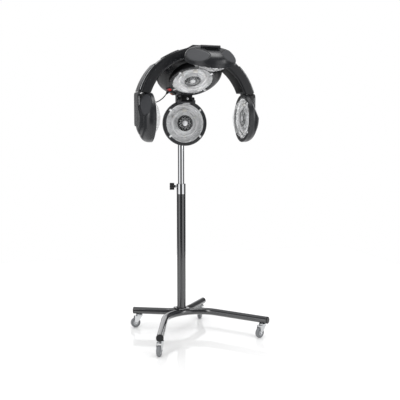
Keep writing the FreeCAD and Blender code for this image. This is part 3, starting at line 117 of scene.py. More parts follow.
def new_group(name, inputs, outputs):
    """Empty shader node group with its sockets."""
    tree = bpy.data.node_groups.new(name, "ShaderNodeTree")
    for label, kind, value in inputs:
        socket = tree.interface.new_socket(name=label, in_out="INPUT", socket_type=kind)
        socket.default_value = value
    for label, kind in outputs:
        tree.interface.new_socket(name=label, in_out="OUTPUT", socket_type=kind)
    return tree, tree.nodes.new("NodeGroupInput"), tree.nodes.new("NodeGroupOutput")


print("node helpers ready")

# %% [markdown]
# Grain
# -----
# Moulded plastic, powder coat and castor tyres are never one flat colour: the
# tone is a little mottled, the gloss is uneven, and a fine texture catches the
# light.  An image could hold that, but noise on object coordinates has no seams
# and the same scale on every part.  One shared group gives all three, and each
# finish sets its own amounts.

# %% grain
FLOAT = "NodeSocketFloat"
COLOR = "NodeSocketColor"
VECTOR = "NodeSocketVector"


def grain_group():
    """Mottled tone, uneven gloss and a fine height for moulded or coated surfaces."""
    tree, given, out = new_group("surface_grain", [
        ("Vector", VECTOR, (0.0, 0.0, 0.0)),
        ("Tone", COLOR, (0.05, 0.05, 0.05, 1.0)),
        ("Tone Spread", FLOAT, 0.15),
        ("Gloss", FLOAT, 0.4),
        ("Gloss Spread", FLOAT, 0.08),
        ("Fine Scale", FLOAT, 700.0),
        ("Broad Scale", FLOAT, 14.0),
    ], [("Color", COLOR), ("Roughness", FLOAT), ("Height", FLOAT)])
    link = tree.links.new
    fine = add_node(tree, "ShaderNodeTexNoise", in_Detail=2.0)
    broad = add_node(tree, "ShaderNodeTexNoise", in_Detail=3.0)
    for noise, scale in ((fine, "Fine Scale"), (broad, "Broad Scale")):
        link(given.outputs["Vector"], noise.inputs["Vector"])
        link(given.outputs[scale], noise.inputs["Scale"])
    centred = add_node(tree, "ShaderNodeMath", operation="SUBTRACT")
    centred.inputs[1].default_value = 0.5
    link(broad.outputs["Fac"], centred.inputs[0])
    tone = add_node(tree, "ShaderNodeMath", operation="MULTIPLY_ADD")
    link(centred.outputs[0], tone.inputs[0])
    link(given.outputs["Tone Spread"], tone.inputs[1])
    tone.inputs[2].default_value = 1.0
    speck = add_node(tree, "ShaderNodeMath", operation="MULTIPLY_ADD")
    link(fine.outputs["Fac"], speck.inputs[0])
    speck.inputs[1].default_value = 0.12
    link(tone.outputs[0], speck.inputs[2])
    shade = add_node(tree, "ShaderNodeVectorMath", operation="SCALE")
    link(given.outputs["Tone"], shade.inputs[0])
    link(speck.outputs[0], shade.inputs["Scale"])
    link(shade.outputs[0], out.inputs["Color"])
    rough = add_node(tree, "ShaderNodeMath", operation="MULTIPLY_ADD")
    link(centred.outputs[0], rough.inputs[0])
    link(given.outputs["Gloss Spread"], rough.inputs[1])
    link(given.outputs["Gloss"], rough.inputs[2])
    link(rough.outputs[0], out.inputs["Roughness"])
    link(fine.outputs["Fac"], out.inputs["Height"])
    return tree


GRAIN = grain_group()
print("node group", GRAIN.name)

# %% [markdown]
# Hair scratches
# --------------
# Glossy parts that hands and towels rub carry fine scratches that run one way.
# They could be cut as grooves, but at their size they only break up the shine.
# So noise is stretched along one axis, cut to thin streaks and kept to patches,
# and a finish adds this mask to its roughness.

# %% hair scratches


def scuff_group():
    """Thin hair scratches as a mask, stretched along one axis."""
    tree, given, out = new_group("hair_scuffs", [
        ("Vector", VECTOR, (0.0, 0.0, 0.0)),
        ("Stretch", VECTOR, (60.0, 60.0, 4.0)),
        ("Amount", FLOAT, 0.5),
    ], [("Mask", FLOAT)])
    link = tree.links.new
    stretched = add_node(tree, "ShaderNodeVectorMath", operation="MULTIPLY")
    link(given.outputs["Vector"], stretched.inputs[0])
    link(given.outputs["Stretch"], stretched.inputs[1])
    streaks = add_node(tree, "ShaderNodeTexNoise", in_Scale=9.0, in_Detail=3.0)
    link(stretched.outputs[0], streaks.inputs["Vector"])
    where = add_node(tree, "ShaderNodeTexNoise", in_Scale=7.0, in_Detail=1.0)
    link(given.outputs["Vector"], where.inputs["Vector"])
    thin = add_node(tree, "ShaderNodeMapRange", in_From_Min=0.62, in_From_Max=0.7)
    link(streaks.outputs["Fac"], thin.inputs["Value"])
    patch = add_node(tree, "ShaderNodeMapRange", in_From_Min=0.45, in_From_Max=0.62)
    link(where.outputs["Fac"], patch.inputs["Value"])
    both = add_node(tree, "ShaderNodeMath", operation="MULTIPLY")
    link(thin.outputs[0], both.inputs[0])
    link(patch.outputs[0], both.inputs[1])
    scaled = add_node(tree, "ShaderNodeMath", operation="MULTIPLY")
    link(both.outputs[0], scaled.inputs[0])
    link(given.outputs["Amount"], scaled.inputs[1])
    link(scaled.outputs[0], out.inputs["Mask"])
    return tree


SCUFFS = scuff_group()
print("node group", SCUFFS.name)

# %% [markdown]
# Opaque finishes
# ---------------
# Satin anthracite mouldings, charcoal powder coat, chrome, grey castor tyres and
# small coloured keys differ only in tone, gloss, grain and metal.  Each could
# have its own node tree.  One function that takes those values is shorter and
# keeps the grain alike, so that the parts look as if they belong together.

# %% opaque finishes
MATERIALS = {}


def new_material(name):
    """Material with its Principled shader and object coordinates."""
    material = bpy.data.materials.new(name)
    material.use_nodes = True
    tree = material.node_tree
    shader = tree.nodes["Principled BSDF"]
    coords = tree.nodes.new("ShaderNodeTexCoord")
    MATERIALS[name] = material
    return tree, shader, coords


def surface(name, tone, gloss, spread=0.15, gloss_spread=0.1, fine=700.0, broad=14.0,
            bump=0.05, metallic=0.0, specular=0.5, coat=0.0, scuff=0.0,
            stretch=(60.0, 60.0, 4.0)):
    """Grained finish shared by plastics, coatings and metals."""
    tree, shader, coords = new_material(name)
    link = tree.links.new
    grain = add_node(tree, "ShaderNodeGroup", node_tree=GRAIN)
    grain.inputs["Tone"].default_value = (*tone, 1.0)
    grain.inputs["Tone Spread"].default_value = spread
    grain.inputs["Gloss"].default_value = gloss
    grain.inputs["Gloss Spread"].default_value = gloss_spread
    grain.inputs["Fine Scale"].default_value = fine
    grain.inputs["Broad Scale"].default_value = broad
    link(coords.outputs["Object"], grain.inputs["Vector"])
    link(grain.outputs["Color"], shader.inputs["Base Color"])
    height = add_node(tree, "ShaderNodeBump", in_Strength=bump, in_Distance=0.0006)
    link(grain.outputs["Height"], height.inputs["Height"])
    link(height.outputs["Normal"], shader.inputs["Normal"])
    if scuff:
        worn = add_node(tree, "ShaderNodeGroup", node_tree=SCUFFS)
        worn.inputs["Stretch"].default_value = stretch
        worn.inputs["Amount"].default_value = scuff
        link(coords.outputs["Object"], worn.inputs["Vector"])
        raised = add_node(tree, "ShaderNodeMath", operation="ADD")
        link(grain.outputs["Roughness"], raised.inputs[0])
        link(worn.outputs["Mask"], raised.inputs[1])
        link(raised.outputs[0], shader.inputs["Roughness"])
    else:
        link(grain.outputs["Roughness"], shader.inputs["Roughness"])
    shader.inputs["Metallic"].default_value = metallic
    shader.inputs["Specular IOR Level"].default_value = specular
    shader.inputs["Coat Weight"].default_value = coat
    shader.inputs["Coat Roughness"].default_value = 0.08


print("recipe for opaque finishes ready")

# %% [markdown]
# Plastics, paint and metal
# -------------------------
# The shells, arms and strips are one family of dark plastic with slightly
# different gloss, and the stand is painted and much shinier.  The values are
# linear, so a tone of 0.01 is nearly black and 0.03 a dark grey.

# %% plastics, paint and metal
surface("shell_plastic", (0.013, 0.0138, 0.0156), 0.27, spread=0.18, bump=0.05, specular=0.45)
surface("arm_plastic", (0.007, 0.0075, 0.0088), 0.27, spread=0.16, bump=0.06, specular=0.34, scuff=0.1)
surface("strip_plastic", (0.010, 0.0106, 0.012), 0.30, spread=0.12, bump=0.04, specular=0.35)
surface("pad_plastic", (0.034, 0.0355, 0.039), 0.30, spread=0.12, fine=1100.0, bump=0.1, specular=0.45)
# Light grey for the beads along the strip edges: painted highlight.
surface("highlight_grey", (0.48, 0.49, 0.50), 0.26, spread=0.08, bump=0.02)
surface("seam_dark", (0.006, 0.006, 0.007), 0.5, bump=0.05, specular=0.3)
surface("black_plastic", (0.008, 0.008, 0.009), 0.36, bump=0.07, specular=0.4, scuff=0.1)
# deep_black paints shade as the sleeve round the crown head and the sheets on the arms' inner faces, and
# colours the black face on the neck block.
surface("deep_black", (0.0035, 0.0035, 0.004), 0.6, bump=0.05, specular=0.2)
surface("guard_black", (0.004, 0.004, 0.0045), 0.34, bump=0.03, specular=0.2)
surface("grille_grey", (0.66, 0.67, 0.68), 0.30, bump=0.02, metallic=0.15)
surface("fan_plastic", (0.004, 0.004, 0.0045), 0.5, bump=0.04, specular=0.12)
surface("stand_paint", (0.008, 0.0088, 0.0105), 0.16, spread=0.1, fine=420.0, bump=0.03, specular=0.8,
        coat=1.0, scuff=0.08, stretch=(8.0, 8.0, 60.0))
surface("chrome", (0.58, 0.59, 0.60), 0.06, spread=0.03, gloss_spread=0.04, bump=0.004, metallic=1.0,
        scuff=0.05)
# Bright finish of the dome clips, also used for the bar that paints a highlight on the neck.
surface("bright_clip_and_highlight", (0.82, 0.83, 0.84), 0.2, spread=0.05, bump=0.01, metallic=0.7)
surface("brushed_hub", (0.80, 0.80, 0.81), 0.3, spread=0.1, bump=0.01, metallic=0.6)
surface("wheel_tyre", (0.17, 0.176, 0.185), 0.45, spread=0.22, fine=500.0, bump=0.12, scuff=0.2)
surface("wheel_plastic", (0.34, 0.35, 0.36), 0.38, spread=0.1, bump=0.05)
surface("lead_rubber", (0.010, 0.010, 0.011), 0.42, fine=900.0, bump=0.06)
surface("panel_dark", (0.010, 0.0105, 0.012), 0.55, bump=0.05, specular=0.2)
surface("panel_red", (0.24, 0.006, 0.008), 0.4, bump=0.02, specular=0.3)
surface("key_down", (0.10, 0.16, 0.30), 0.4, bump=0.03)
surface("key_start", (0.50, 0.20, 0.03), 0.4, bump=0.03)
surface("key_up", (0.40, 0.06, 0.05), 0.4, bump=0.03)
surface("lamp_green", (0.06, 0.22, 0.10), 0.3, bump=0.02)
surface("lamp_blue", (0.12, 0.17, 0.24), 0.3, bump=0.02)
surface("ceramic", (0.62, 0.60, 0.56), 0.55, bump=0.06)
print("opaque finishes", len(MATERIALS))

# %% [markdown]
# Reflectors
# ----------
# The dishes are bright anodised metal with a hammered skin, which spreads the
# light of the ring lamps.  Modelled dimples would take far too many faces.  A
# Voronoi bump gives each dimple its glint.  Broad light and dark mottling of the
# tone is painted reflection: with a surface that is only partly metal it stands
# for the blurred shine.

# %% reflectors


def reflector_material():
    """Bright anodised dish with a hammered skin and turned rings, and painted reflection in its mottled
    tone.
    """
    tree, shader, coords = new_material("reflector")
    link = tree.links.new
    grain = add_node(tree, "ShaderNodeGroup", node_tree=GRAIN)
    grain.inputs["Tone"].default_value = (0.80, 0.805, 0.81, 1.0)
    # A wide Tone Spread at a broad scale: mottling of the tone as painted reflection.
    grain.inputs["Tone Spread"].default_value = 0.9
    grain.inputs["Gloss"].default_value = 0.24
    grain.inputs["Gloss Spread"].default_value = 0.15
    grain.inputs["Broad Scale"].default_value = 75.0
    link(coords.outputs["Object"], grain.inputs["Vector"])
    link(grain.outputs["Color"], shader.inputs["Base Color"])
    link(grain.outputs["Roughness"], shader.inputs["Roughness"])
    dimples = add_node(tree, "ShaderNodeTexVoronoi", in_Scale=190.0)
    link(coords.outputs["Object"], dimples.inputs["Vector"])
    height = add_node(tree, "ShaderNodeBump", in_Strength=0.8, in_Distance=0.0012)
    link(dimples.outputs["Distance"], height.inputs["Height"])
    link(height.outputs["Normal"], shader.inputs["Normal"])
    shader.inputs["Metallic"].default_value = 0.62


reflector_material()
print("finishes", len(MATERIALS))

# %% [markdown]
# Clear and lit finishes
# ----------------------
# The domes are thin clear plastic and the lamp tubes frosted glass.  A dome made
# of solid glass would hide its dish behind white reflections, so Alpha leaves
# most of it open and only the rest bends the light.  The figures of the display
# shine by themselves, which takes emission and no lamp.

# %% clear and lit finishes


def clear_material(name, tone, gloss, weight, bump, bend, cover=1.0):
    """Clear moulding with a faint ripple."""
    tree, shader, coords = new_material(name)
    link = tree.links.new
    ripple = add_node(tree, "ShaderNodeTexNoise", in_Scale=60.0, in_Detail=2.0)
    link(coords.outputs["Object"], ripple.inputs["Vector"])
    rough = add_node(tree, "ShaderNodeMapRange", in_To_Min=gloss * 0.7, in_To_Max=gloss * 1.4)
    link(ripple.outputs["Fac"], rough.inputs["Value"])
    link(rough.outputs[0], shader.inputs["Roughness"])
    height = add_node(tree, "ShaderNodeBump", in_Strength=bump, in_Distance=0.001)
    link(ripple.outputs["Fac"], height.inputs["Height"])
    link(height.outputs["Normal"], shader.inputs["Normal"])
    shader.inputs["Base Color"].default_value = (*tone, 1.0)
    shader.inputs["Transmission Weight"].default_value = weight
    shader.inputs["IOR"].default_value = bend
    shader.inputs["Alpha"].default_value = cover


def glow_material(name, tone, strength):
    """Lit segment of a display, a little uneven."""
    tree, shader, coords = new_material(name)
    link = tree.links.new
    grain = add_node(tree, "ShaderNodeGroup", node_tree=GRAIN)
    grain.inputs["Tone"].default_value = (*tone, 1.0)
    grain.inputs["Tone Spread"].default_value = 0.2
    link(coords.outputs["Object"], grain.inputs["Vector"])
    link(grain.outputs["Color"], shader.inputs["Base Color"])
    link(grain.outputs["Color"], shader.inputs["Emission Color"])
    shader.inputs["Emission Strength"].default_value = strength
    shader.inputs["Roughness"].default_value = 0.3


clear_material("lens_clear", (0.97, 0.98, 0.99), 0.03, 1.0, 0.05, 1.25, cover=0.18)
clear_material("lamp_glass", (0.90, 0.90, 0.91), 0.22, 0.35, 0.08, 1.35)
glow_material("display_red", (0.60, 0.02, 0.02), 0.35)
print("finishes", len(MATERIALS))

# %% [markdown]
# Finish of every CAD part
# ------------------------
# Each CAD part gets a finish, whether it shows or not.  A list of every name
# would be long, and many names differ only in their side.  So the first word
# below that a part's name contains decides.  A part that a finer piece stands
# for is hidden later.

# %% finish of every CAD part
FINISH_BY_WORD = [
    ("_fan_guard", "guard_black"), ("_reflector", "reflector"), ("_lamp_ring", "lamp_glass"),
    ("_lens", "lens_clear"), ("_head_shell", "shell_plastic"), ("_arm_cover", "strip_plastic"),
    ("left_arm", "arm_plastic"), ("right_arm", "arm_plastic"), ("front_arm", "arm_plastic"),
    ("housing_", "arm_plastic"), ("rear_hinge_block", "shell_plastic"), ("castor_fork", "chrome"),
    ("castor_wheel", "wheel_tyre"), ("clamp_knob", "black_plastic"), ("mast_tube", "chrome"),
    ("mast_head", "shell_plastic"), ("column_collar", "chrome"), ("column_tube", "stand_paint"),
    ("leg_tube", "stand_paint"), ("hub_plate", "stand_paint"), ("leg_end_caps", "black_plastic"),
    ("control_panel", "panel_dark"), ("key_down", "key_down"), ("key_start", "key_start"),
    ("key_up", "key_up"), ("_lead", "lead_rubber"), ("_fan", "fan_plastic"),
]
for name, part in NODES.items():
    finish = next(kind for word, kind in FINISH_BY_WORD if word in name)
    part.data.materials.clear()
    part.data.materials.append(MATERIALS[finish])
print("CAD parts with a finish", len(NODES))

# %% [markdown]
# Seats and pieces
# ----------------
# Most pieces are drawn about a simple axis and then carried to their place.  The
# place could be the object's own location and turn.  Here a seat matrix is
# applied to the mesh instead, so that every object stays at the origin, as the
# CAD parts do, and the grain has the same scale everywhere.

# %% seats and pieces


def seat(origin, facing, top):
    """Matrix from millimetres in a local frame (Z facing, Y top) to the row frame."""
    z_axis = Vector(facing).normalized()
    y_axis = Vector(top).normalized()
    x_axis = y_axis.cross(z_axis)
    turn = Matrix((x_axis, y_axis, z_axis)).transposed().to_4x4()
    return Matrix.Translation(Vector(origin) * MM) @ turn @ Matrix.Scale(MM, 4)


WORLD = Matrix.Scale(MM, 4)


def join(target, source, matrix=None):
    """Adds one bmesh to another, moved by a matrix."""
    if matrix is not None:
        source.transform(matrix)
    mesh = bpy.data.meshes.new("part")
    source.to_mesh(mesh)
    source.free()
    target.from_mesh(mesh)
    bpy.data.meshes.remove(mesh)


def piece(mesh, name, finish, body, place=WORLD, sharp=34.0, replaces=()):
    """Object from a bmesh, on its body and in its finish."""
    mesh.transform(place)
    bmesh.ops.recalc_face_normals(mesh, faces=mesh.faces)
    data = bpy.data.meshes.new(name)
    mesh.to_mesh(data)
    mesh.free()
    data.shade_smooth()
    data.set_sharp_from_angle(angle=math.radians(sharp))
    data.materials.append(MATERIALS[finish])
    made = bpy.data.objects.new(name, data)
    bpy.context.scene.collection.objects.link(made)
    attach(made, body)
    if replaces:
        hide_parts(*replaces)


print("seats and pieces ready")

# %% [markdown]
# Turned shapes
# -------------
# Domes, rims, caps, screws and discs are turned shapes.  A ring could be spun
# sharp and bevelled afterwards.  Rounding the corners of its profile first gives
# even edges and clean faces, and an arc in the profile gives a curved wall.

# %% turned shapes


def softened(corners, steps=4):
    """Closed profile of (radius, height, rounding) corners, rounded by arcs."""
    points = []
    count = len(corners)
    for index, corner in enumerate(corners):
        here = Vector(corner[:2])
        rounding = corner[2] if len(corner) > 2 else 0.0
        if rounding <= 0:
            points.append(tuple(here))
            continue
        before = (Vector(corners[index - 1][:2]) - here).normalized()
        after = (Vector(corners[(index + 1) % count][:2]) - here).normalized()
        half = before.angle(after) / 2
        run = rounding / math.tan(half)
        centre = here + (before + after).normalized() * (rounding / math.sin(half))
        first = here + before * run - centre
        last = here + after * run - centre
        swing = first.angle_signed(last)
        for step in range(steps + 1):
            turn = -swing * step / steps
            points.append((centre.x + first.x * math.cos(turn) - first.y * math.sin(turn),
                           centre.y + first.x * math.sin(turn) + first.y * math.cos(turn)))
    return points


def lathe(profile, steps=96, start=0.0, sweep=360.0):
    """Closed profile of (radius, height) points spun about Z."""
    mesh = bmesh.new()
    turn = math.radians(start)
    verts = [mesh.verts.new((r * math.cos(turn), r * math.sin(turn), z)) for r, z in profile]
    edges = [mesh.edges.new(pair) for pair in zip(verts, verts[1:] + verts[:1])]
    whole = sweep >= 360.0
    bmesh.ops.spin(mesh, geom=verts + edges, cent=(0, 0, 0), axis=(0, 0, 1),
                   angle=math.radians(sweep), steps=steps, use_merge=whole)
    bmesh.ops.remove_doubles(mesh, verts=mesh.verts, dist=1e-5)
    return mesh


def arc_points(first, through, last, steps):
    """Points on the circle through three (radius, height) points."""
    a, b, c = Vector(first), Vector(through), Vector(last)
    aa, bb, cc = a.length_squared, b.length_squared, c.length_squared
    scale = 2 * (a.x * (b.y - c.y) + b.x * (c.y - a.y) + c.x * (a.y - b.y))
    centre = Vector(((aa * (b.y - c.y) + bb * (c.y - a.y) + cc * (a.y - b.y)) / scale,
                     (aa * (c.x - b.x) + bb * (a.x - c.x) + cc * (b.x - a.x)) / scale))
    start = math.atan2(a.y - centre.y, a.x - centre.x)
    end = math.atan2(c.y - centre.y, c.x - centre.x)
    swing = (end - start + math.pi) % (2 * math.pi) - math.pi
    radius = (a - centre).length
    turns = [start + swing * step / steps for step in range(steps + 1)]
    return [(centre.x + radius * math.cos(turn), centre.y + radius * math.sin(turn)) for turn in turns]


def circle_points(centre, radius, count):
    """Points of a full circle in the plane of a profile."""
    turns = [2 * math.pi * step / count for step in range(count)]
    return [(centre[0] + radius * math.cos(turn), centre[1] + radius * math.sin(turn)) for turn in turns]


def button(radius, height, edge, steps=40, foot=0.0):
    """Round disc with a soft top edge, standing on z = foot."""
    top = foot + height
    return lathe(softened([(0, foot), (radius, foot), (radius, top, edge), (0, top)]), steps)


print("turned shapes ready")

# %% [markdown]
# Blocks and beads
# ----------------
# What isn't turned is a block with round edges, a band of faces between two
# rings, or a thin bead along a line.  A curve could make the bead as well.  A
# mesh can be closed at its ends and joined to other meshes.

# %% blocks and beads


def slab(size, centre=(0, 0, 0), bevel=0.6, segments=3):
    """Block with round edges."""
    mesh = bmesh.new()
    place = Matrix.Translation(centre) @ Matrix.Diagonal((*size, 1.0))
    bmesh.ops.create_cube(mesh, size=1.0, matrix=place)
    bmesh.ops.bevel(mesh, geom=mesh.edges[:], offset=bevel, segments=segments, profile=0.5,
                    affect="EDGES", material=-1)
    return mesh


def stitch(mesh, near, far):
    """Band of faces between two closed rings of vertices."""
    for step in range(len(near)):
        after = (step + 1) % len(near)
        mesh.faces.new((near[step], near[after], far[after], far[step]))


def bead(points, radius, sides=10):
    """Thin round bead along points, with closed ends."""
    mesh = bmesh.new()
    rings = []
    path = [Vector(p) for p in points]
    for index, here in enumerate(path):
        ahead = path[min(index + 1, len(path) - 1)] - path[max(index - 1, 0)]
        ahead.normalize()
        side = ahead.cross(Vector((0, 1, 0)) if abs(ahead.y) < 0.9 else Vector((1, 0, 0))).normalized()
        rise = side.cross(ahead)
        ring = []
        for step in range(sides):
            turn = 2 * math.pi * step / sides
            ring.append(mesh.verts.new(here + (side * math.cos(turn) + rise * math.sin(turn)) * radius))
        rings.append(ring)
    for near, far in zip(rings, rings[1:]):
        stitch(mesh, near, far)
    mesh.faces.new(rings[0])
    mesh.faces.new(list(reversed(rings[-1])))
    return mesh


print("blocks and beads ready")

# %% [markdown]
# Lead to the left head
# ---------------------
# A slack lead of 5 mm leaves a gland at the back of the bowl, hangs in a shallow
# loop and goes into the inner corner of the left arm.  A simulated rope would
# find nearly the same line.  A smooth curve through listed points keeps its
# length exact, and a round bevel keeps its thickness even.

# %% lead
LEAD_RADIUS = 0.0025
LEAD_POINTS = [
    (-0.093, -0.081, 1.187), (-0.109, -0.091, 1.169), (-0.128, -0.110, 1.156), (-0.150, -0.138, 1.145),
    (-0.176, -0.172, 1.139), (-0.198, -0.200, 1.144), (-0.214, -0.217, 1.160), (-0.225, -0.226, 1.180),
]
lead_curve = bpy.data.curves.new("lead", "CURVE")
lead_curve.dimensions = "3D"
lead_curve.bevel_depth = LEAD_RADIUS
lead_curve.bevel_resolution = 5
lead_curve.use_fill_caps = True
lead_line = lead_curve.splines.new("NURBS")
lead_line.points.add(len(LEAD_POINTS) - 1)
for point, spot in zip(lead_line.points, LEAD_POINTS):
    point.co = (*spot, 1.0)
lead_line.order_u = 3
lead_line.use_endpoint_u = True
lead_line.resolution_u = 12
lead_curve.materials.append(MATERIALS["lead_rubber"])
lead = bpy.data.objects.new("lead", lead_curve)
bpy.context.scene.collection.objects.link(lead)
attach(lead, "left_arm")
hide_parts("left_head_lead")
print("lead points", len(LEAD_POINTS))

# %% [markdown]
# Places of the lamp heads
# ------------------------
# Five equal heads look towards the middle of the hood.  Their places could be
# written out again, but each head has a fan, and the frame knows its axis.  So
# a head faces along that axis, its rim lies a fixed step in front of the fan,
# and its top is as near to upright as that allows.

# %% places of the lamp heads
HEAD_BODIES = {"rear": "rear_head", "crown": "hood", "front": "front_head", "left": "left_head",
               "right": "right_head"}
FAN_DEPTH = 15.0


def head_seat(name):
    """Seat in the middle of a head's rim, facing out of the head."""
    spin = JOINTS[name + "_fan_spin"]
    facing = Vector(spin["axis"]).normalized()
    top = Vector((0, 0, 1))
    top = top - facing * top.dot(facing)
    return seat(Vector(spin["pos_m"]) / MM + facing * FAN_DEPTH, facing, top)


HEADS = {name: (head_seat(name), body) for name, body in HEAD_BODIES.items()}
for name in HEADS:
    print(name, "head at", tuple(round(v, 3) for v in HEADS[name][0].translation))

# %% [markdown]
# Reflector dishes
# ----------------
# Each dish rises from the throat of the fan to the seat of the dome in turned
# steps.  A bump could suggest them, but they are deep enough to break up the
# reflections, so they are part of the profile: a wave on the wall and small
# steps on the floor of the dish.

# %% reflector dishes
WAVE_HEIGHT = 1.1
WAVE_STEPS = 6.5
FLOOR_Z = -25.0
FLOOR_STEP = 1.75


def reflector_outline():
    """Profile with turned rings, from the seat of the dome to the fan's throat and back."""
    profile = [(104, -3.3), (92, -3.3)]
    wall = arc_points((92, -3.3), (79, -17.2), (62, FLOOR_Z), 40)
    for index, (r, z) in enumerate(wall[1:-1]):
        ripple = WAVE_HEIGHT * math.sin(math.pi * index / WAVE_STEPS)
        profile.append((r + ripple * 0.5, z + ripple))
    for index in range(12):
        ripple = 0.7 if index % 4 in (1, 2) else 0.0
        profile.append((61.5 - index * FLOOR_STEP, FLOOR_Z + ripple))
    profile += [(40.5, FLOOR_Z), (40.5, -2.3), (39.0, -2.0), (39.0, -26.5), (62, -26.5)]
    under = arc_points((62, -26.5), (80, -18.4), (93.5, -4.8), 12)
    return profile + under[1:] + [(104, -4.8)]


print("dish outline", len(reflector_outline()), "points")

# %% [markdown]
# Ring lamps
# ----------
# A ring-shaped lamp stands in each dish on three posts.  Its two ends meet at the
# top in a ceramic cap.  A torus has no gap, so a circle is spun through a little
# less than a full turn, and the cap covers the ends.

# %% ring lamps
LAMP_R = 62.0
LAMP_Z = -13.0
LAMP_TUBE_R = 5.0
LAMP_BAND_R = 6.0
LAMP_START = 97.0
LAMP_SWEEP = 346.0
POST_COUNT = 3
POST_R = 60.0
POST_LINE = [(0, -24.9), (4.5, -24.9), (4.5, -23.4, 0.6), (2.2, -23.4), (2.2, -18), (0, -18)]


def lamp_tube():
    """Ring tube with a gap at the top, where its ends meet."""
    return lathe(circle_points((LAMP_R, LAMP_Z), LAMP_TUBE_R, 20), 110, LAMP_START, LAMP_SWEEP)


def lamp_fittings():
    """Ceramic end cap and the three posts with their bands."""
    mesh = bmesh.new()
    cap = slab((22, 12.5, 12.5), (0, 0, 0), 2.5, 3)
    join(mesh, cap, Matrix.Translation((0, LAMP_R, LAMP_Z)))
    band = circle_points((LAMP_R, LAMP_Z), LAMP_BAND_R, 24)
    for post in range(POST_COUNT):
        turn = 2 * math.pi * (post + 0.25) / POST_COUNT
        spoke = Matrix.Rotation(turn, 4, "Z")
        strap = bmesh.new()
        loops = []
        for across in (-2.5, 2.5):
            loops.append([strap.verts.new((x, across, z)) for x, z in band])
        stitch(strap, *loops)
        bmesh.ops.solidify(strap, geom=strap.faces[:], thickness=0.6)
        join(mesh, strap, spoke)
        join(mesh, lathe(softened(POST_LINE), 24), spoke @ Matrix.Translation((POST_R, 0, 0)))
    return mesh


print("ring lamps ready")

# %% [markdown]
# Fan grilles
# -----------
# The guard of each fan is a moulded net of diamonds between a rim and a bright
# button.  Holes cut with booleans would be slow and rough.  Here staggered rings
# of points give the diamonds, each face is inset to a frame, its window is
# deleted, and what is left gets a thickness.

# %% fan grilles
GRILLE_COUNT = 12
GRILLE_RADII = (13.5, 20.5, 28.0, 37.4)
GRILLE_Z = -4.2
GRILLE_BAR = 0.8
GRILLE_DEPTH = 0.7
RIM_LINE = [(35.0, -5.0), (38.7, -5.0), (38.7, -1.6, 0.9), (35.0, -1.6, 0.9)]
BUTTON_SEAT_LINE = [(0, -5.0), (14.8, -5.0), (14.8, -2.0, 1.2), (0, -2.0)]
BUTTON_LINE = [(0, -2.1), (13.4, -2.1), (13.4, -1.5), (12.4, -0.9), (9.4, -0.3), (5.0, 0.1), (0, 0.2)]


def guard_lattice():
    """Net of diamonds between the button and the rim of the fan guard."""
    mesh = bmesh.new()
    rings = []
    for index, radius in enumerate(GRILLE_RADII):
        ring = []
        for step in range(GRILLE_COUNT):
            turn = 2 * math.pi * (step + 0.5 * (index % 2)) / GRILLE_COUNT
            ring.append(mesh.verts.new((radius * math.cos(turn), radius * math.sin(turn), GRILLE_Z)))
        rings.append(ring)
    for index in range(len(GRILLE_RADII) - 2):
        for step in range(GRILLE_COUNT):
            before = (step - 1) % GRILLE_COUNT if index % 2 == 0 else step
            after = step if index % 2 == 0 else (step + 1) % GRILLE_COUNT
            mesh.faces.new((rings[index][step], rings[index + 1][after],
                            rings[index + 2][step], rings[index + 1][before]))
    mesh.normal_update()
    window = bmesh.ops.inset_individual(mesh, faces=mesh.faces[:], thickness=GRILLE_BAR)
    frames = set(window["faces"])
    bmesh.ops.delete(mesh, geom=[f for f in mesh.faces if f not in frames], context="FACES")
    mesh.normal_update()
    bmesh.ops.solidify(mesh, geom=mesh.faces[:], thickness=GRILLE_DEPTH)
    return mesh


def guard_rings():
    """Rim of the fan guard and the seat of its button."""
    mesh = lathe(softened(RIM_LINE), 72)
    join(mesh, lathe(softened(BUTTON_SEAT_LINE), 48))
    return mesh


print("fan grilles ready")

# %% [markdown]
# Domes, clips and rims
# ---------------------
# A clear dome covers each dish, four bright clips with a screw each hold it, and
# a soft ring frames it.  A sphere primitive has no wall and no seat.  A spun
# profile gives the wall, the flat seat and the shallow moulded rings at once.

# %% domes, clips and rims
DOME_R = 91.0
DOME_RISE = 40.0
DOME_WALL = 2.5
CLIP_ANGLES = (40.0, 140.0, 220.0, 320.0)
CLIP_R = 97.6
CLIP_SIZE = (13.4, 9.6, 2.9)
SCREW_R = 99.6
SCREW_LINE = [(0, 0), (2.6, 0), (2.6, 1.2, 0.7), (1.4, 1.2), (1.4, 0.5), (0, 0.5)]
SOFT_RIM_LINE = [(94.4, -1.0), (109.2, -1.0), (109.2, 1.0, 1.3), (94.4, 1.0, 0.8)]


def clear_dome():
    """Clear dome with a seat rim and shallow moulded rings."""
    ball = (DOME_R ** 2 + DOME_RISE ** 2) / (2 * DOME_RISE)
    drop_z = ball - DOME_RISE
    reach = math.asin(DOME_R / ball)
    profile = [(93.7, -2.9), (93.7, 0.0), (91.6, 0.3)]
    for step in range(1, 27):
        turn = reach * (1 - step / 26)
        ripple = -0.35 if step % 4 == 2 and step < 20 else 0.0
        profile.append(((ball + ripple) * math.sin(turn), (ball + ripple) * math.cos(turn) - drop_z))
    inner = ball - DOME_WALL
    inner_reach = math.acos(drop_z / inner)
    for step in range(0, 21):
        turn = inner_reach * step / 20
        profile.append((inner * math.sin(turn), inner * math.cos(turn) - drop_z))
    profile.append((inner * math.sin(inner_reach), -2.9))
    return lathe(profile, 120)


def lens_clips():
    """Four bright clips with a screw each."""
    mesh = bmesh.new()
    for angle in CLIP_ANGLES:
        turn = Matrix.Rotation(math.radians(angle), 4, "Z")
        join(mesh, slab(CLIP_SIZE, (CLIP_R, 0, 1.5), 0.9), turn)
        screw = lathe(softened(SCREW_LINE), 20)
        join(mesh, screw, turn @ Matrix.Translation((SCREW_R, 0, 2.7)))
    return mesh


print("domes, clips and rims ready")

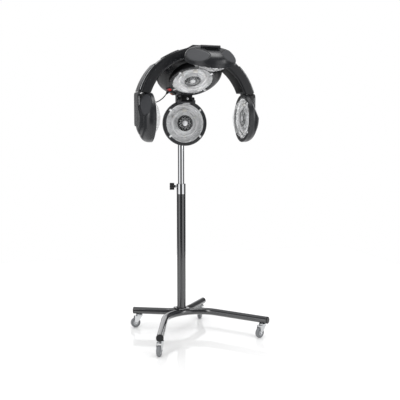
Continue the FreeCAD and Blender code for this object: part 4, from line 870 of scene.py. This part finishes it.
# %% [markdown]
# Five dressed heads
# ------------------
# The heads are the same, so one loop makes the pieces of each and carries them
# to its seat.  Copies that share a mesh would be lighter, but each piece has to
# carry its place in its own mesh.  The dish, lamp, net and dome stand for their
# plain CAD parts, and the rest is added.

# %% five dressed heads
for name, (place, body) in HEADS.items():
    piece(lathe(reflector_outline(), 120), name + "_dish", "reflector", body, place, 50,
          [name + "_reflector"])
    piece(lamp_tube(), name + "_lamp_tube", "lamp_glass", body, place, 40,
          [name + "_lamp_ring"])
    piece(lamp_fittings(), name + "_lamp_fittings", "ceramic", body, place, 40)
    piece(guard_lattice(), name + "_grille", "grille_grey", body, place, 30,
          [name + "_fan_guard"])
    piece(guard_rings(), name + "_grille_rings", "guard_black", body, place, 40)
    piece(lathe(BUTTON_LINE, 48), name + "_grille_hub", "brushed_hub", body, place, 40)
    piece(clear_dome(), name + "_dome", "lens_clear", body, place, 60, [name + "_lens"])
    piece(lens_clips(), name + "_clips", "bright_clip_and_highlight", body, place)
    piece(lathe(softened(SOFT_RIM_LINE, 5), 120), name + "_rim", "shell_plastic", body, place, 40)
print("lamp heads", len(HEADS))

# %% [markdown]
# Oval plates on the shells
# -------------------------
# The back of each shell is cut by two flat facets.  A lighter plate lies on each
# and follows its oval outline, a few millimetres in from the edge.  A boolean
# with the shell would give that outline.  The shell's own profile gives it more
# cleanly, because its radius at each height tells how wide the cut is there.

# %% oval plates
FACET_REACH = 74.0
FACET_LEAN = math.radians(35.0)
FACET_START = 9.9
FACET_RUN = 72.5
FACET_MIDDLE = 46.0
FACET_ANGLES = {"rear": (47.0, 133.0), "front": (-30.0, 210.0), "left": (47.0, 133.0),
                "right": (47.0, 133.0)}
SHELL_LINE = ([(0.0, -55.0), (50.0, -55.0)] + arc_points((50, -55), (66, -52.8), (86, -47), 12)[1:] +
              [(104.0, -33.0)] + arc_points((104, -33), (108.5, -24), (110, -14), 8)[1:] + [(110.0, 0.0)])


def shell_radius(z):
    """Radius of the shell's outside at a height behind the rim."""
    for (r0, z0), (r1, z1) in zip(SHELL_LINE[1:], SHELL_LINE[2:]):
        if z0 <= z <= z1 and z1 > z0:
            return r0 + (r1 - r0) * (z - z0) / (z1 - z0)
    return 0.0


def facet_plate(angle, margin=4.5, rise=0.9, steps=26):
    """Plate on a facet, with a rounded edge."""
    turn = math.radians(angle)
    outward = Vector((math.cos(turn) * math.sin(FACET_LEAN), math.sin(turn) * math.sin(FACET_LEAN),
                      -math.cos(FACET_LEAN)))
    along = Vector((math.cos(turn) * math.cos(FACET_LEAN), math.sin(turn) * math.cos(FACET_LEAN),
                    math.sin(FACET_LEAN)))
    across = Vector((-math.sin(turn), math.cos(turn), 0))
    right_side = []
    for step in range(steps + 1):
        run = FACET_START + FACET_RUN * (1 - math.cos(math.pi * step / steps)) / 2
        near = FACET_REACH * math.sin(FACET_LEAN) + run * math.cos(FACET_LEAN)
        limit = shell_radius(-FACET_REACH * math.cos(FACET_LEAN) + run * math.sin(FACET_LEAN))
        if limit > near:
            right_side.append(Vector((run, math.sqrt(limit ** 2 - near ** 2))))
    outline = right_side + [Vector((p.x, -p.y)) for p in reversed(right_side)]
    centre = Vector((FACET_MIDDLE, 0.0))
    mesh = bmesh.new()
    rings = []
    for inset, height in ((margin - 0.2, -0.3), (margin, 0.35 * rise), (margin + 0.5, 0.8 * rise),
                          (margin + 1.4, rise), (margin + 6.0, rise)):
        ring = []
        for spot in outline:
            way = spot - centre
            flat = centre + way * (1 - inset / max(way.length, 1.0))
            place = outward * (FACET_REACH + height) + along * flat.x + across * flat.y
            ring.append(mesh.verts.new(place))
        rings.append(ring)
    for near_ring, far_ring in zip(rings, rings[1:]):
        stitch(mesh, near_ring, far_ring)
    mesh.faces.new(rings[-1])
    return mesh


for name, angles in FACET_ANGLES.items():
    place, body = HEADS[name]
    plates = bmesh.new()
    for angle in angles:
        join(plates, facet_plate(angle))
    piece(plates, name + "_plates", "pad_plastic", body, place, 40)
print("oval plates on", len(FACET_ANGLES), "heads")

# %% [markdown]
# Seams and painted shade sleeve
# ------------------------------
# A dark joint line runs round each shell behind its rim, and a black sleeve round
# the crown head paints the shade in the gap between that head and the housing.
# A painted line would need an exact edge in the shader, so the seam is a ring
# that stands a tenth of a millimetre proud of the shell.

# %% seams and painted shade sleeve
SEAM_LINE = [(109.7, -14.5), (110.12, -14.3), (110.12, -13.7), (109.7, -13.5)]
SHADE_SLEEVE_LINE = [(110.35, -3.5), (110.35, -14.0), (109.2, -22.0), (107.2, -28.0), (104.45, -33.2),
               (97.0, -41.0), (88.0, -46.6)]
SHADE_SLEEVE_WALL = 0.7

for name, (place, body) in HEADS.items():
    piece(lathe(SEAM_LINE, 120), name + "_seam", "seam_dark", body, place, 60)
shade_sleeve_inside = [(r - SHADE_SLEEVE_WALL, z + 0.2) for r, z in reversed(SHADE_SLEEVE_LINE)]
# Black sleeve round the crown head: painted shade over its flank.
piece(lathe(SHADE_SLEEVE_LINE + shade_sleeve_inside, 120), "crown_shade_sleeve", "deep_black", "hood", HEADS["crown"][0], 60)
print("seams", len(HEADS))

# %% [markdown]
# Painted highlight along the outer strips
# ----------------------------------------
# A thin bright bead between each arm and its strip, and on down the edge of the
# strap behind the side head, paints the highlight that this edge catches.  One
# long bead would tear as the head tilts, so the arm and the head each have their
# own, with a gap where the head turns.

# %% strip highlight beads
ARCH_Y = -262.0
ARCH_Z = 1103.0
SIDES = ((-1, "left"), (1, "right"))
STRIP_BEAD_R = 281.0
STRIP_BEAD_Y = ARCH_Y - 42.4
STRIP_BEAD_FROM = 46.0
STRIP_BEAD_SWEEP = 26.2
STRAP_BEAD_X = 272.2
STRAP_BEAD_Y = ARCH_Y - 42.3
STRAP_BEAD_LEVELS = (1160.0, 1140.0, 1110.0, 1080.0, 1052.0)
STRIP_BEAD_THICK = 1.1
STRAP_BEAD_THICK = 1.0

for side, word in SIDES:
    line = []
    for step in range(29):
        turn = math.radians(STRIP_BEAD_FROM + STRIP_BEAD_SWEEP * step / 28)
        line.append((side * STRIP_BEAD_R * math.sin(turn), STRIP_BEAD_Y,
                     ARCH_Z + STRIP_BEAD_R * math.cos(turn)))
    # Bright beads on the arm and on the strap: painted highlight along the edge.
    piece(bead(line, STRIP_BEAD_THICK, 12), word + "_strip_highlight", "highlight_grey", word + "_arm")
    strap_line = [(side * STRAP_BEAD_X, STRAP_BEAD_Y, z) for z in STRAP_BEAD_LEVELS]
    piece(bead(strap_line, STRAP_BEAD_THICK, 12), word + "_strap_highlight", "highlight_grey", word + "_head")
print("beads", 4)

# %% [markdown]
# Painted arm shade and bracket cheeks
# ------------------------------------
# A matt black sheet on the inner face of each arm paints the shade that falls
# there, and a cheek closes the corner between the strap of a side head and its
# lug.  A bent sheet could be made flat and curved by a modifier.  Placing its
# section step by step round the arch puts it straight on the arm.  The cheek is
# an outline with a depth and stops short of the arm, so that the head can tilt.

# %% arm shade and cheeks
SHADE_SHEET_FROM = 27.0
SHADE_SHEET_SWEEP = 41.5
SHADE_SHEET_SECTION = ((231.1, 45.0), (230.5, 45.0), (230.1, 44.0), (230.1, -44.0), (230.5, -45.0),
                 (231.1, -45.0))
CHEEK_OUTLINE = [(246.0, 1150.0), (246.0, 1177.5), (262.0, 1172.0), (268.0, 1170.0), (268.8, 1175.5),
                 (271.5, 1175.5), (271.5, 1150.0)]
CHEEK_FRONT_Y = -303.0
CHEEK_BACK_Y = -280.0


def arm_shade_sheet(side, steps=40):
    """Thin black sheet on the arm's inner face, painted shade."""
    mesh = bmesh.new()
    loops = []
    for step in range(steps + 1):
        turn = math.radians(SHADE_SHEET_FROM + SHADE_SHEET_SWEEP * step / steps)
        loop = []
        for radius, reach in SHADE_SHEET_SECTION:
            loop.append(mesh.verts.new((side * radius * math.sin(turn), ARCH_Y + reach,
                                        ARCH_Z + radius * math.cos(turn))))
        loops.append(loop)
    for first, second in zip(loops, loops[1:]):
        stitch(mesh, first, second)
    mesh.faces.new(loops[0])
    mesh.faces.new(list(reversed(loops[-1])))
    return mesh


def cheek(side):
    """Plate between the strap and the lug of a side head."""
    mesh = bmesh.new()
    front = [mesh.verts.new((side * x, CHEEK_FRONT_Y, z)) for x, z in CHEEK_OUTLINE]
    back = [mesh.verts.new((side * x, CHEEK_BACK_Y, z)) for x, z in CHEEK_OUTLINE]
    mesh.faces.new(front)
    mesh.faces.new(list(reversed(back)))
    stitch(mesh, front, back)
    bmesh.ops.bevel(mesh, geom=mesh.edges[:], offset=0.7, segments=2, affect="EDGES", profile=0.5)
    return mesh


for side, word in SIDES:
    # Black sheet on each arm's inner face: painted shade.
    piece(arm_shade_sheet(side), word + "_arm_shade_sheet", "deep_black", word + "_arm")
    piece(cheek(side), word + "_cheek", "black_plastic", word + "_head")
print("liners and cheeks", 4)

# %% [markdown]
# Neck of the rear head
# ---------------------
# A black face with two bars lies on the hinge block between the cheeks, with a
# bright screw.  The pin has a cap at each end, and a bright bar along the front
# of the neck below the block is a painted highlight.  They are small, so turned
# and bevelled shapes do, and the caps find the pin by the joint in the frame.

# %% neck
BLOCK_FRONT_Y = -108.0
NECK_FRONT_Y = -116.0
NECK_HALF_WIDTH = 42.0
BLOCK_FACE_SIZE = (52.0, 30.0, 1.2)
BLOCK_BAR_SIZE = (3.0, 28.0, 2.2)
BLOCK_BAR_X = 19.0
NECK_HIGHLIGHT_SIZE = (34.0, 2.4, 1.4)
NECK_SCREW_LINE = [(0, 0), (5.6, 0), (5.6, 2.2, 1.0), (2.6, 2.2), (2.6, 1.0), (0, 1.0)]
PIN_CAP_LINE = [(0, 0), (7.0, 0), (7.0, 1.8, 0.8), (2.2, 1.8), (2.2, 0.9), (0, 0.9)]
TO_FRONT = (0, -1, 0)
UP = (0, 0, 1)

piece(lathe(softened(NECK_SCREW_LINE), 36), "neck_screw", "chrome", "hood",
      seat((4, BLOCK_FRONT_Y, 1163), TO_FRONT, UP))
block_face = bmesh.new()
join(block_face, slab(BLOCK_FACE_SIZE, (0, 0, 0.6), 0.5))
for x in (-BLOCK_BAR_X, BLOCK_BAR_X):
    join(block_face, slab(BLOCK_BAR_SIZE, (x, 0, 1.5), 0.7))
piece(block_face, "neck_block_face", "deep_black", "hood", seat((0, BLOCK_FRONT_Y, 1172), TO_FRONT, UP))
# Bright bar below the block: painted highlight along the front of the neck.
highlight_bar = slab(NECK_HIGHLIGHT_SIZE, (0, 0, 0.2), 0.6)
piece(highlight_bar, "neck_highlight_bar", "bright_clip_and_highlight", "rear_head", seat((-3, NECK_FRONT_Y, 1141), TO_FRONT, UP))
pin_x, pin_y, pin_z = Vector(JOINTS["rear_head_tilt"]["pos_m"]) / MM
for side, word in SIDES:
    piece(lathe(softened(PIN_CAP_LINE), 36), "neck_cap_" + word, "black_plastic", "rear_head",
          seat((pin_x + side * NECK_HALF_WIDTH, pin_y, pin_z), (side, 0, 0), UP))
print("neck", 5)

# %% [markdown]
# Seats on the bowl
# -----------------
# The housing is a shallow bowl, and the small parts of the control stand square
# to its surface.  A ray cast on the CAD part would find the place.  The bowl is
# part of an ellipsoid, so its equation gives the height of a point and the way
# the surface faces there, whatever the facets of the mesh are.

# %% seats on the bowl
BOWL_AXES = Vector((158.0, 153.0, 62.0))
BOWL_CENTRE = Vector((0.0, -30.0, -65.0))
crown_seat = HEADS["crown"][0]


def on_bowl(x, y, lean=0.0):
    """Seat on the housing's surface, in the crown head's frame, facing outwards."""
    dx, dy = (x - BOWL_CENTRE.x) / BOWL_AXES.x, (y - BOWL_CENTRE.y) / BOWL_AXES.y
    spot = Vector((x, y, BOWL_CENTRE.z + BOWL_AXES.z * math.sqrt(1 - dx * dx - dy * dy)))
    normal = Vector((dx / BOWL_AXES.x, dy / BOWL_AXES.y, (spot.z - BOWL_CENTRE.z) / BOWL_AXES.z ** 2))
    normal.normalize()
    top = Vector((math.sin(lean), math.cos(lean), 0))
    top = (top - normal * top.dot(normal)).normalized()
    side = top.cross(normal)
    turn = Matrix((side, top, normal)).transposed().to_4x4()
    return crown_seat @ Matrix.Translation(spot) @ turn


print("seats on the bowl ready")

# %% [markdown]
# Display and indicators
# ----------------------
# A small red timer window stands beside the key panel, with a green and a blue
# indicator.  It shows two generic digits.  A text object would bring a font with
# it, while seven bars make any figure of such a display.

# %% display
WINDOW_X = -90.0
WINDOW_Y = -87.0
WINDOW_LEAN = 0.5
FRAME_SIZE = (22.0, 34.0, 4.4)
WINDOW_SIZE = (17.0, 28.0, 1.4)
FIGURE_SIZE = 5.0
FIGURE_X = 3.6
INDICATORS = (("green", -71.2, -96.9, 6.5), ("blue", -82.5, -119.0, 5.5))
SEGMENTS = {"a": (0, 2, 1), "b": (1, 1, 0), "c": (1, -1, 0), "d": (0, -2, 1), "e": (-1, -1, 0),
            "f": (-1, 1, 0), "g": (0, 0, 1)}
DIGITS = {"3": "abcdg", "0": "abcdef"}


def digit(character, across, size):
    """Seven-segment figure."""
    mesh = bmesh.new()
    for letter in DIGITS[character]:
        x, y, lying = SEGMENTS[letter]
        long_way, thick = size * 0.8, size * 0.26
        shape = (long_way, thick, 0.5) if lying else (thick, long_way, 0.5)
        join(mesh, slab(shape, (across + x * size * 0.5, y * size * 0.5, 0), 0.12, 1))
    return mesh


window_seat = on_bowl(WINDOW_X, WINDOW_Y, WINDOW_LEAN)
piece(slab(FRAME_SIZE, (0, 0, 1.0), 1.8), "display_frame", "panel_dark", "hood", window_seat)
piece(slab(WINDOW_SIZE, (0, 0, 3.3), 0.6), "display_window", "panel_red", "hood", window_seat)
figures = digit("3", -FIGURE_X, FIGURE_SIZE)
join(figures, digit("0", FIGURE_X, FIGURE_SIZE))
piece(figures, "display_figures", "display_red", "hood", window_seat @ Matrix.Translation((0, 2, 4.15)))
for label, x, y, radius in INDICATORS:
    light = button(radius, 1.6, 0.7, 32, -0.8)
    piece(light, "indicator_" + label, "lamp_" + label, "hood", on_bowl(x, y))
print("display parts", 5)

# %% [markdown]
# Castors and column
# ------------------
# Each wheel has a hub disc on both sides, and its axle a domed cap at both ends.
# A weld bead joins the column to its plate, and a ring closes the collar round
# the mast.  The castors stand at different angles, so the axle comes from the
# joint of each wheel and its middle from the box of the wheel.

# %% castors and column
CASTORS = ("left", "front", "right", "rear")
DISC_LINE = [(5.2, 8.2), (14.5, 8.2), (14.5, 9.3, 0.6), (5.2, 9.3, 0.4)]
CAP_LINE = [(0, 12.6), (5.6, 12.6), (5.6, 14.0, 0.9), (3.4, 15.2, 0.9), (0, 15.4)]
COLLAR_LINE = [(23.0, 742.2), (24.1, 742.2, 0.4), (24.1, 744.0, 0.7), (17.4, 744.0), (17.4, 743.0),
               (23.0, 743.0)]
WELD_R = 24.3
WELD_WAVE = 0.35
WELD_WAVES = 16
WELD_THICK = 1.7
WELD_Z = 108.9

for name in CASTORS:
    low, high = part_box("castor_wheel_" + name)
    centre = (Vector(low) + Vector(high)) / 2 / MM
    axle = -Vector(JOINTS["castor_" + name + "_roll"]["axis"])
    discs, caps = bmesh.new(), bmesh.new()
    for way in (-1, 1):
        place = Matrix.Translation(centre) @ (axle * way).to_track_quat("Z", "Y").to_matrix().to_4x4()
        join(discs, lathe(softened(DISC_LINE), 48), place)
        join(caps, lathe(softened(CAP_LINE), 32), place)
    piece(discs, "wheel_disc_" + name, "wheel_plastic", "wheel_" + name)
    piece(caps, "axle_caps_" + name, "chrome", "castor_" + name)
print("castors", len(CASTORS))

weld_line = []
for step in range(73):
    turn = math.radians(5.0 * step)
    radius = WELD_R + WELD_WAVE * math.sin(WELD_WAVES * turn)
    weld_line.append((radius * math.cos(turn), radius * math.sin(turn), WELD_Z))
piece(bead(weld_line, WELD_THICK, 12), "column_weld", "stand_paint", "base")
piece(lathe(softened(COLLAR_LINE), 72), "collar_ring", "chrome", "base")
print("weld points", len(weld_line))

# %% [markdown]
# Floor
# -----
# The stand is on a pale glossy floor that mirrors its base.  A mirror all the way
# out would show the dark parts of the surroundings.  So the gloss fades with the
# distance from the middle, and only for rays from the camera, which leaves what
# the chrome reflects as it is.

# %% floor
FLOOR_HALF = 2.0
FLOOR_DROP = 0.0005
MIRROR_TO = 0.7
MATT_FROM = 1.6

floor_mesh = bmesh.new()
bmesh.ops.create_grid(floor_mesh, x_segments=1, y_segments=1, size=FLOOR_HALF)
floor_data = bpy.data.meshes.new("floor")
floor_mesh.to_mesh(floor_data)
floor_mesh.free()
floor_object = bpy.data.objects.new("floor", floor_data)
floor_object.location = (0, 0, -FLOOR_DROP)
bpy.context.scene.collection.objects.link(floor_object)
floor_tree, floor_shader, floor_coords = new_material("floor")
floor_link = floor_tree.links.new
floor_noise = add_node(floor_tree, "ShaderNodeTexNoise", in_Scale=3.0, in_Detail=2.0)
floor_rough = add_node(floor_tree, "ShaderNodeMapRange", in_To_Min=0.03, in_To_Max=0.06)
floor_span = add_node(floor_tree, "ShaderNodeVectorMath", operation="LENGTH")
floor_fade = add_node(floor_tree, "ShaderNodeMapRange", in_From_Min=MIRROR_TO, in_From_Max=MATT_FROM)
floor_rays = add_node(floor_tree, "ShaderNodeLightPath")
floor_seen = add_node(floor_tree, "ShaderNodeMath", operation="MULTIPLY")
floor_sum = add_node(floor_tree, "ShaderNodeMath", operation="ADD")
floor_gloss = add_node(floor_tree, "ShaderNodeMapRange", in_To_Min=0.5, in_To_Max=0.0)
floor_link(floor_coords.outputs["Object"], floor_noise.inputs["Vector"])
floor_link(floor_noise.outputs["Fac"], floor_rough.inputs["Value"])
floor_link(floor_coords.outputs["Object"], floor_span.inputs[0])
floor_link(floor_span.outputs["Value"], floor_fade.inputs["Value"])
floor_link(floor_fade.outputs[0], floor_seen.inputs[0])
floor_link(floor_rays.outputs["Is Camera Ray"], floor_seen.inputs[1])
floor_link(floor_rough.outputs[0], floor_sum.inputs[0])
floor_link(floor_seen.outputs[0], floor_sum.inputs[1])
floor_link(floor_sum.outputs[0], floor_shader.inputs["Roughness"])
floor_link(floor_seen.outputs[0], floor_gloss.inputs["Value"])
floor_link(floor_gloss.outputs[0], floor_shader.inputs["Specular IOR Level"])
floor_shader.inputs["Base Color"].default_value = (0.94, 0.94, 0.94, 1.0)
floor_data.materials.append(MATERIALS["floor"])
print("floor", tuple(round(v, 2) for v in floor_object.dimensions))

# %% [markdown]
# Surroundings
# ------------
# Chrome and glossy plastic show what stands round them more than the light that
# falls on them.  A picture of a studio could surround them.  A world that tells
# the kinds of ray apart needs none: the camera sees plain white, matt surfaces
# get even light, and glossy rays meet upright bands, light and dark.

# %% surroundings
BANDS = [(0.0, 1.0), (0.02, 1.0), (0.06, 0.22), (0.62, 0.12), (0.72, 1.5), (0.90, 1.5), (0.96, 0.10),
         (1.0, 0.08)]
DIM_ABOVE = (0.20, 0.20, 0.205, 1.0)
OVERHEAD = (0.90, 0.90, 0.91, 1.0)
EVEN_LIGHT = (1.05, 1.05, 1.05, 1.0)
BACKDROP = (1.0, 1.0, 1.0, 1.0)

world = bpy.data.worlds.new("world")
bpy.context.scene.world = world
world.use_nodes = True
sky = world.node_tree
background = sky.nodes["Background"]
rays = sky.nodes.new("ShaderNodeLightPath")
direction = sky.nodes.new("ShaderNodeTexCoord")


def tone_ramp(stops):
    """Grey ramp from (position, value) pairs."""
    ramp = sky.nodes.new("ShaderNodeValToRGB")
    while len(ramp.color_ramp.elements) < len(stops):
        ramp.color_ramp.elements.new(0.5)
    for element, (position, value) in zip(ramp.color_ramp.elements, stops):
        element.position = position
        element.color = (value, value, value * 1.01, 1.0)
    return ramp


def mix_tones(factor, first, second):
    """Colour mix of two sockets by a factor socket."""
    mix = sky.nodes.new("ShaderNodeMix")
    mix.data_type = "RGBA"
    sky.links.new(factor, mix.inputs[0])
    for value, socket in ((first, mix.inputs[6]), (second, mix.inputs[7])):
        if isinstance(value, tuple):
            socket.default_value = value
        else:
            sky.links.new(value, socket)
    return mix.outputs[2]


level = add_node(sky, "ShaderNodeVectorMath", operation="MULTIPLY")
level.inputs[1].default_value = (1.0, 1.0, 0.0)
sky.links.new(direction.outputs["Generated"], level.inputs[0])
unit = add_node(sky, "ShaderNodeVectorMath", operation="NORMALIZE")
sky.links.new(level.outputs[0], unit.inputs[0])
facing = add_node(sky, "ShaderNodeVectorMath", operation="DOT_PRODUCT")
facing.inputs[1].default_value = (-CAMERA_HEADING[0], -CAMERA_HEADING[1], 0.0)
sky.links.new(unit.outputs[0], facing.inputs[0])
share = add_node(sky, "ShaderNodeMapRange", in_From_Min=-1.0, in_From_Max=1.0)
sky.links.new(facing.outputs["Value"], share.inputs["Value"])
bands = tone_ramp(BANDS)
sky.links.new(share.outputs[0], bands.inputs["Fac"])
parts = sky.nodes.new("ShaderNodeSeparateXYZ")
sky.links.new(direction.outputs["Generated"], parts.inputs[0])
dim_above = tone_ramp([(0.0, 0.0), (0.30, 0.0), (0.50, 1.0), (1.0, 1.0)])
overhead = tone_ramp([(0.0, 0.0), (0.74, 0.0), (0.86, 1.0), (1.0, 1.0)])
sky.links.new(parts.outputs["Z"], dim_above.inputs["Fac"])
sky.links.new(parts.outputs["Z"], overhead.inputs["Fac"])
lower = mix_tones(dim_above.outputs["Color"], bands.outputs["Color"], DIM_ABOVE)
studio = mix_tones(overhead.outputs["Color"], lower, OVERHEAD)
seen = mix_tones(rays.outputs["Is Glossy Ray"], EVEN_LIGHT, studio)
white = mix_tones(rays.outputs["Is Camera Ray"], seen, BACKDROP)
sky.links.new(white, background.inputs["Color"])
background.inputs["Strength"].default_value = 1.0
print("bands", len(BANDS))

# %% [markdown]
# Soft boxes
# ----------
# Even light alone would leave the dark mouldings flat.  A sun would draw hard
# shadows on the white floor, so two soft boxes at the sides and one above add
# long highlights.  Their power is low, because the surroundings light the rest.

# %% soft boxes
SOFT_BOXES = (
    ("key_light", (-2.8, -2.2, 2.4), (0, -0.2, 0.9), 0.7, 2.2, 26.0),
    ("fill_light", (2.4, -2.6, 1.9), (0, -0.2, 0.8), 0.6, 2.2, 16.0),
    ("top_light", (0.3, -0.2, 3.6), (0, -0.2, 0.8), 2.0, 1.4, 26.0),
)


def soft_box(name, at, aim, width, height, power):
    """Rectangular soft light that looks at a point."""
    data = bpy.data.lights.new(name, "AREA")
    data.shape = "RECTANGLE"
    data.size = width
    data.size_y = height
    data.energy = power
    lamp = bpy.data.objects.new(name, data)
    lamp.location = at
    lamp.rotation_mode = "QUATERNION"
    lamp.rotation_quaternion = (Vector(aim) - Vector(at)).to_track_quat("-Z", "Y")
    bpy.context.scene.collection.objects.link(lamp)


for values in SOFT_BOXES:
    soft_box(*values)
print("lights", len(SOFT_BOXES))
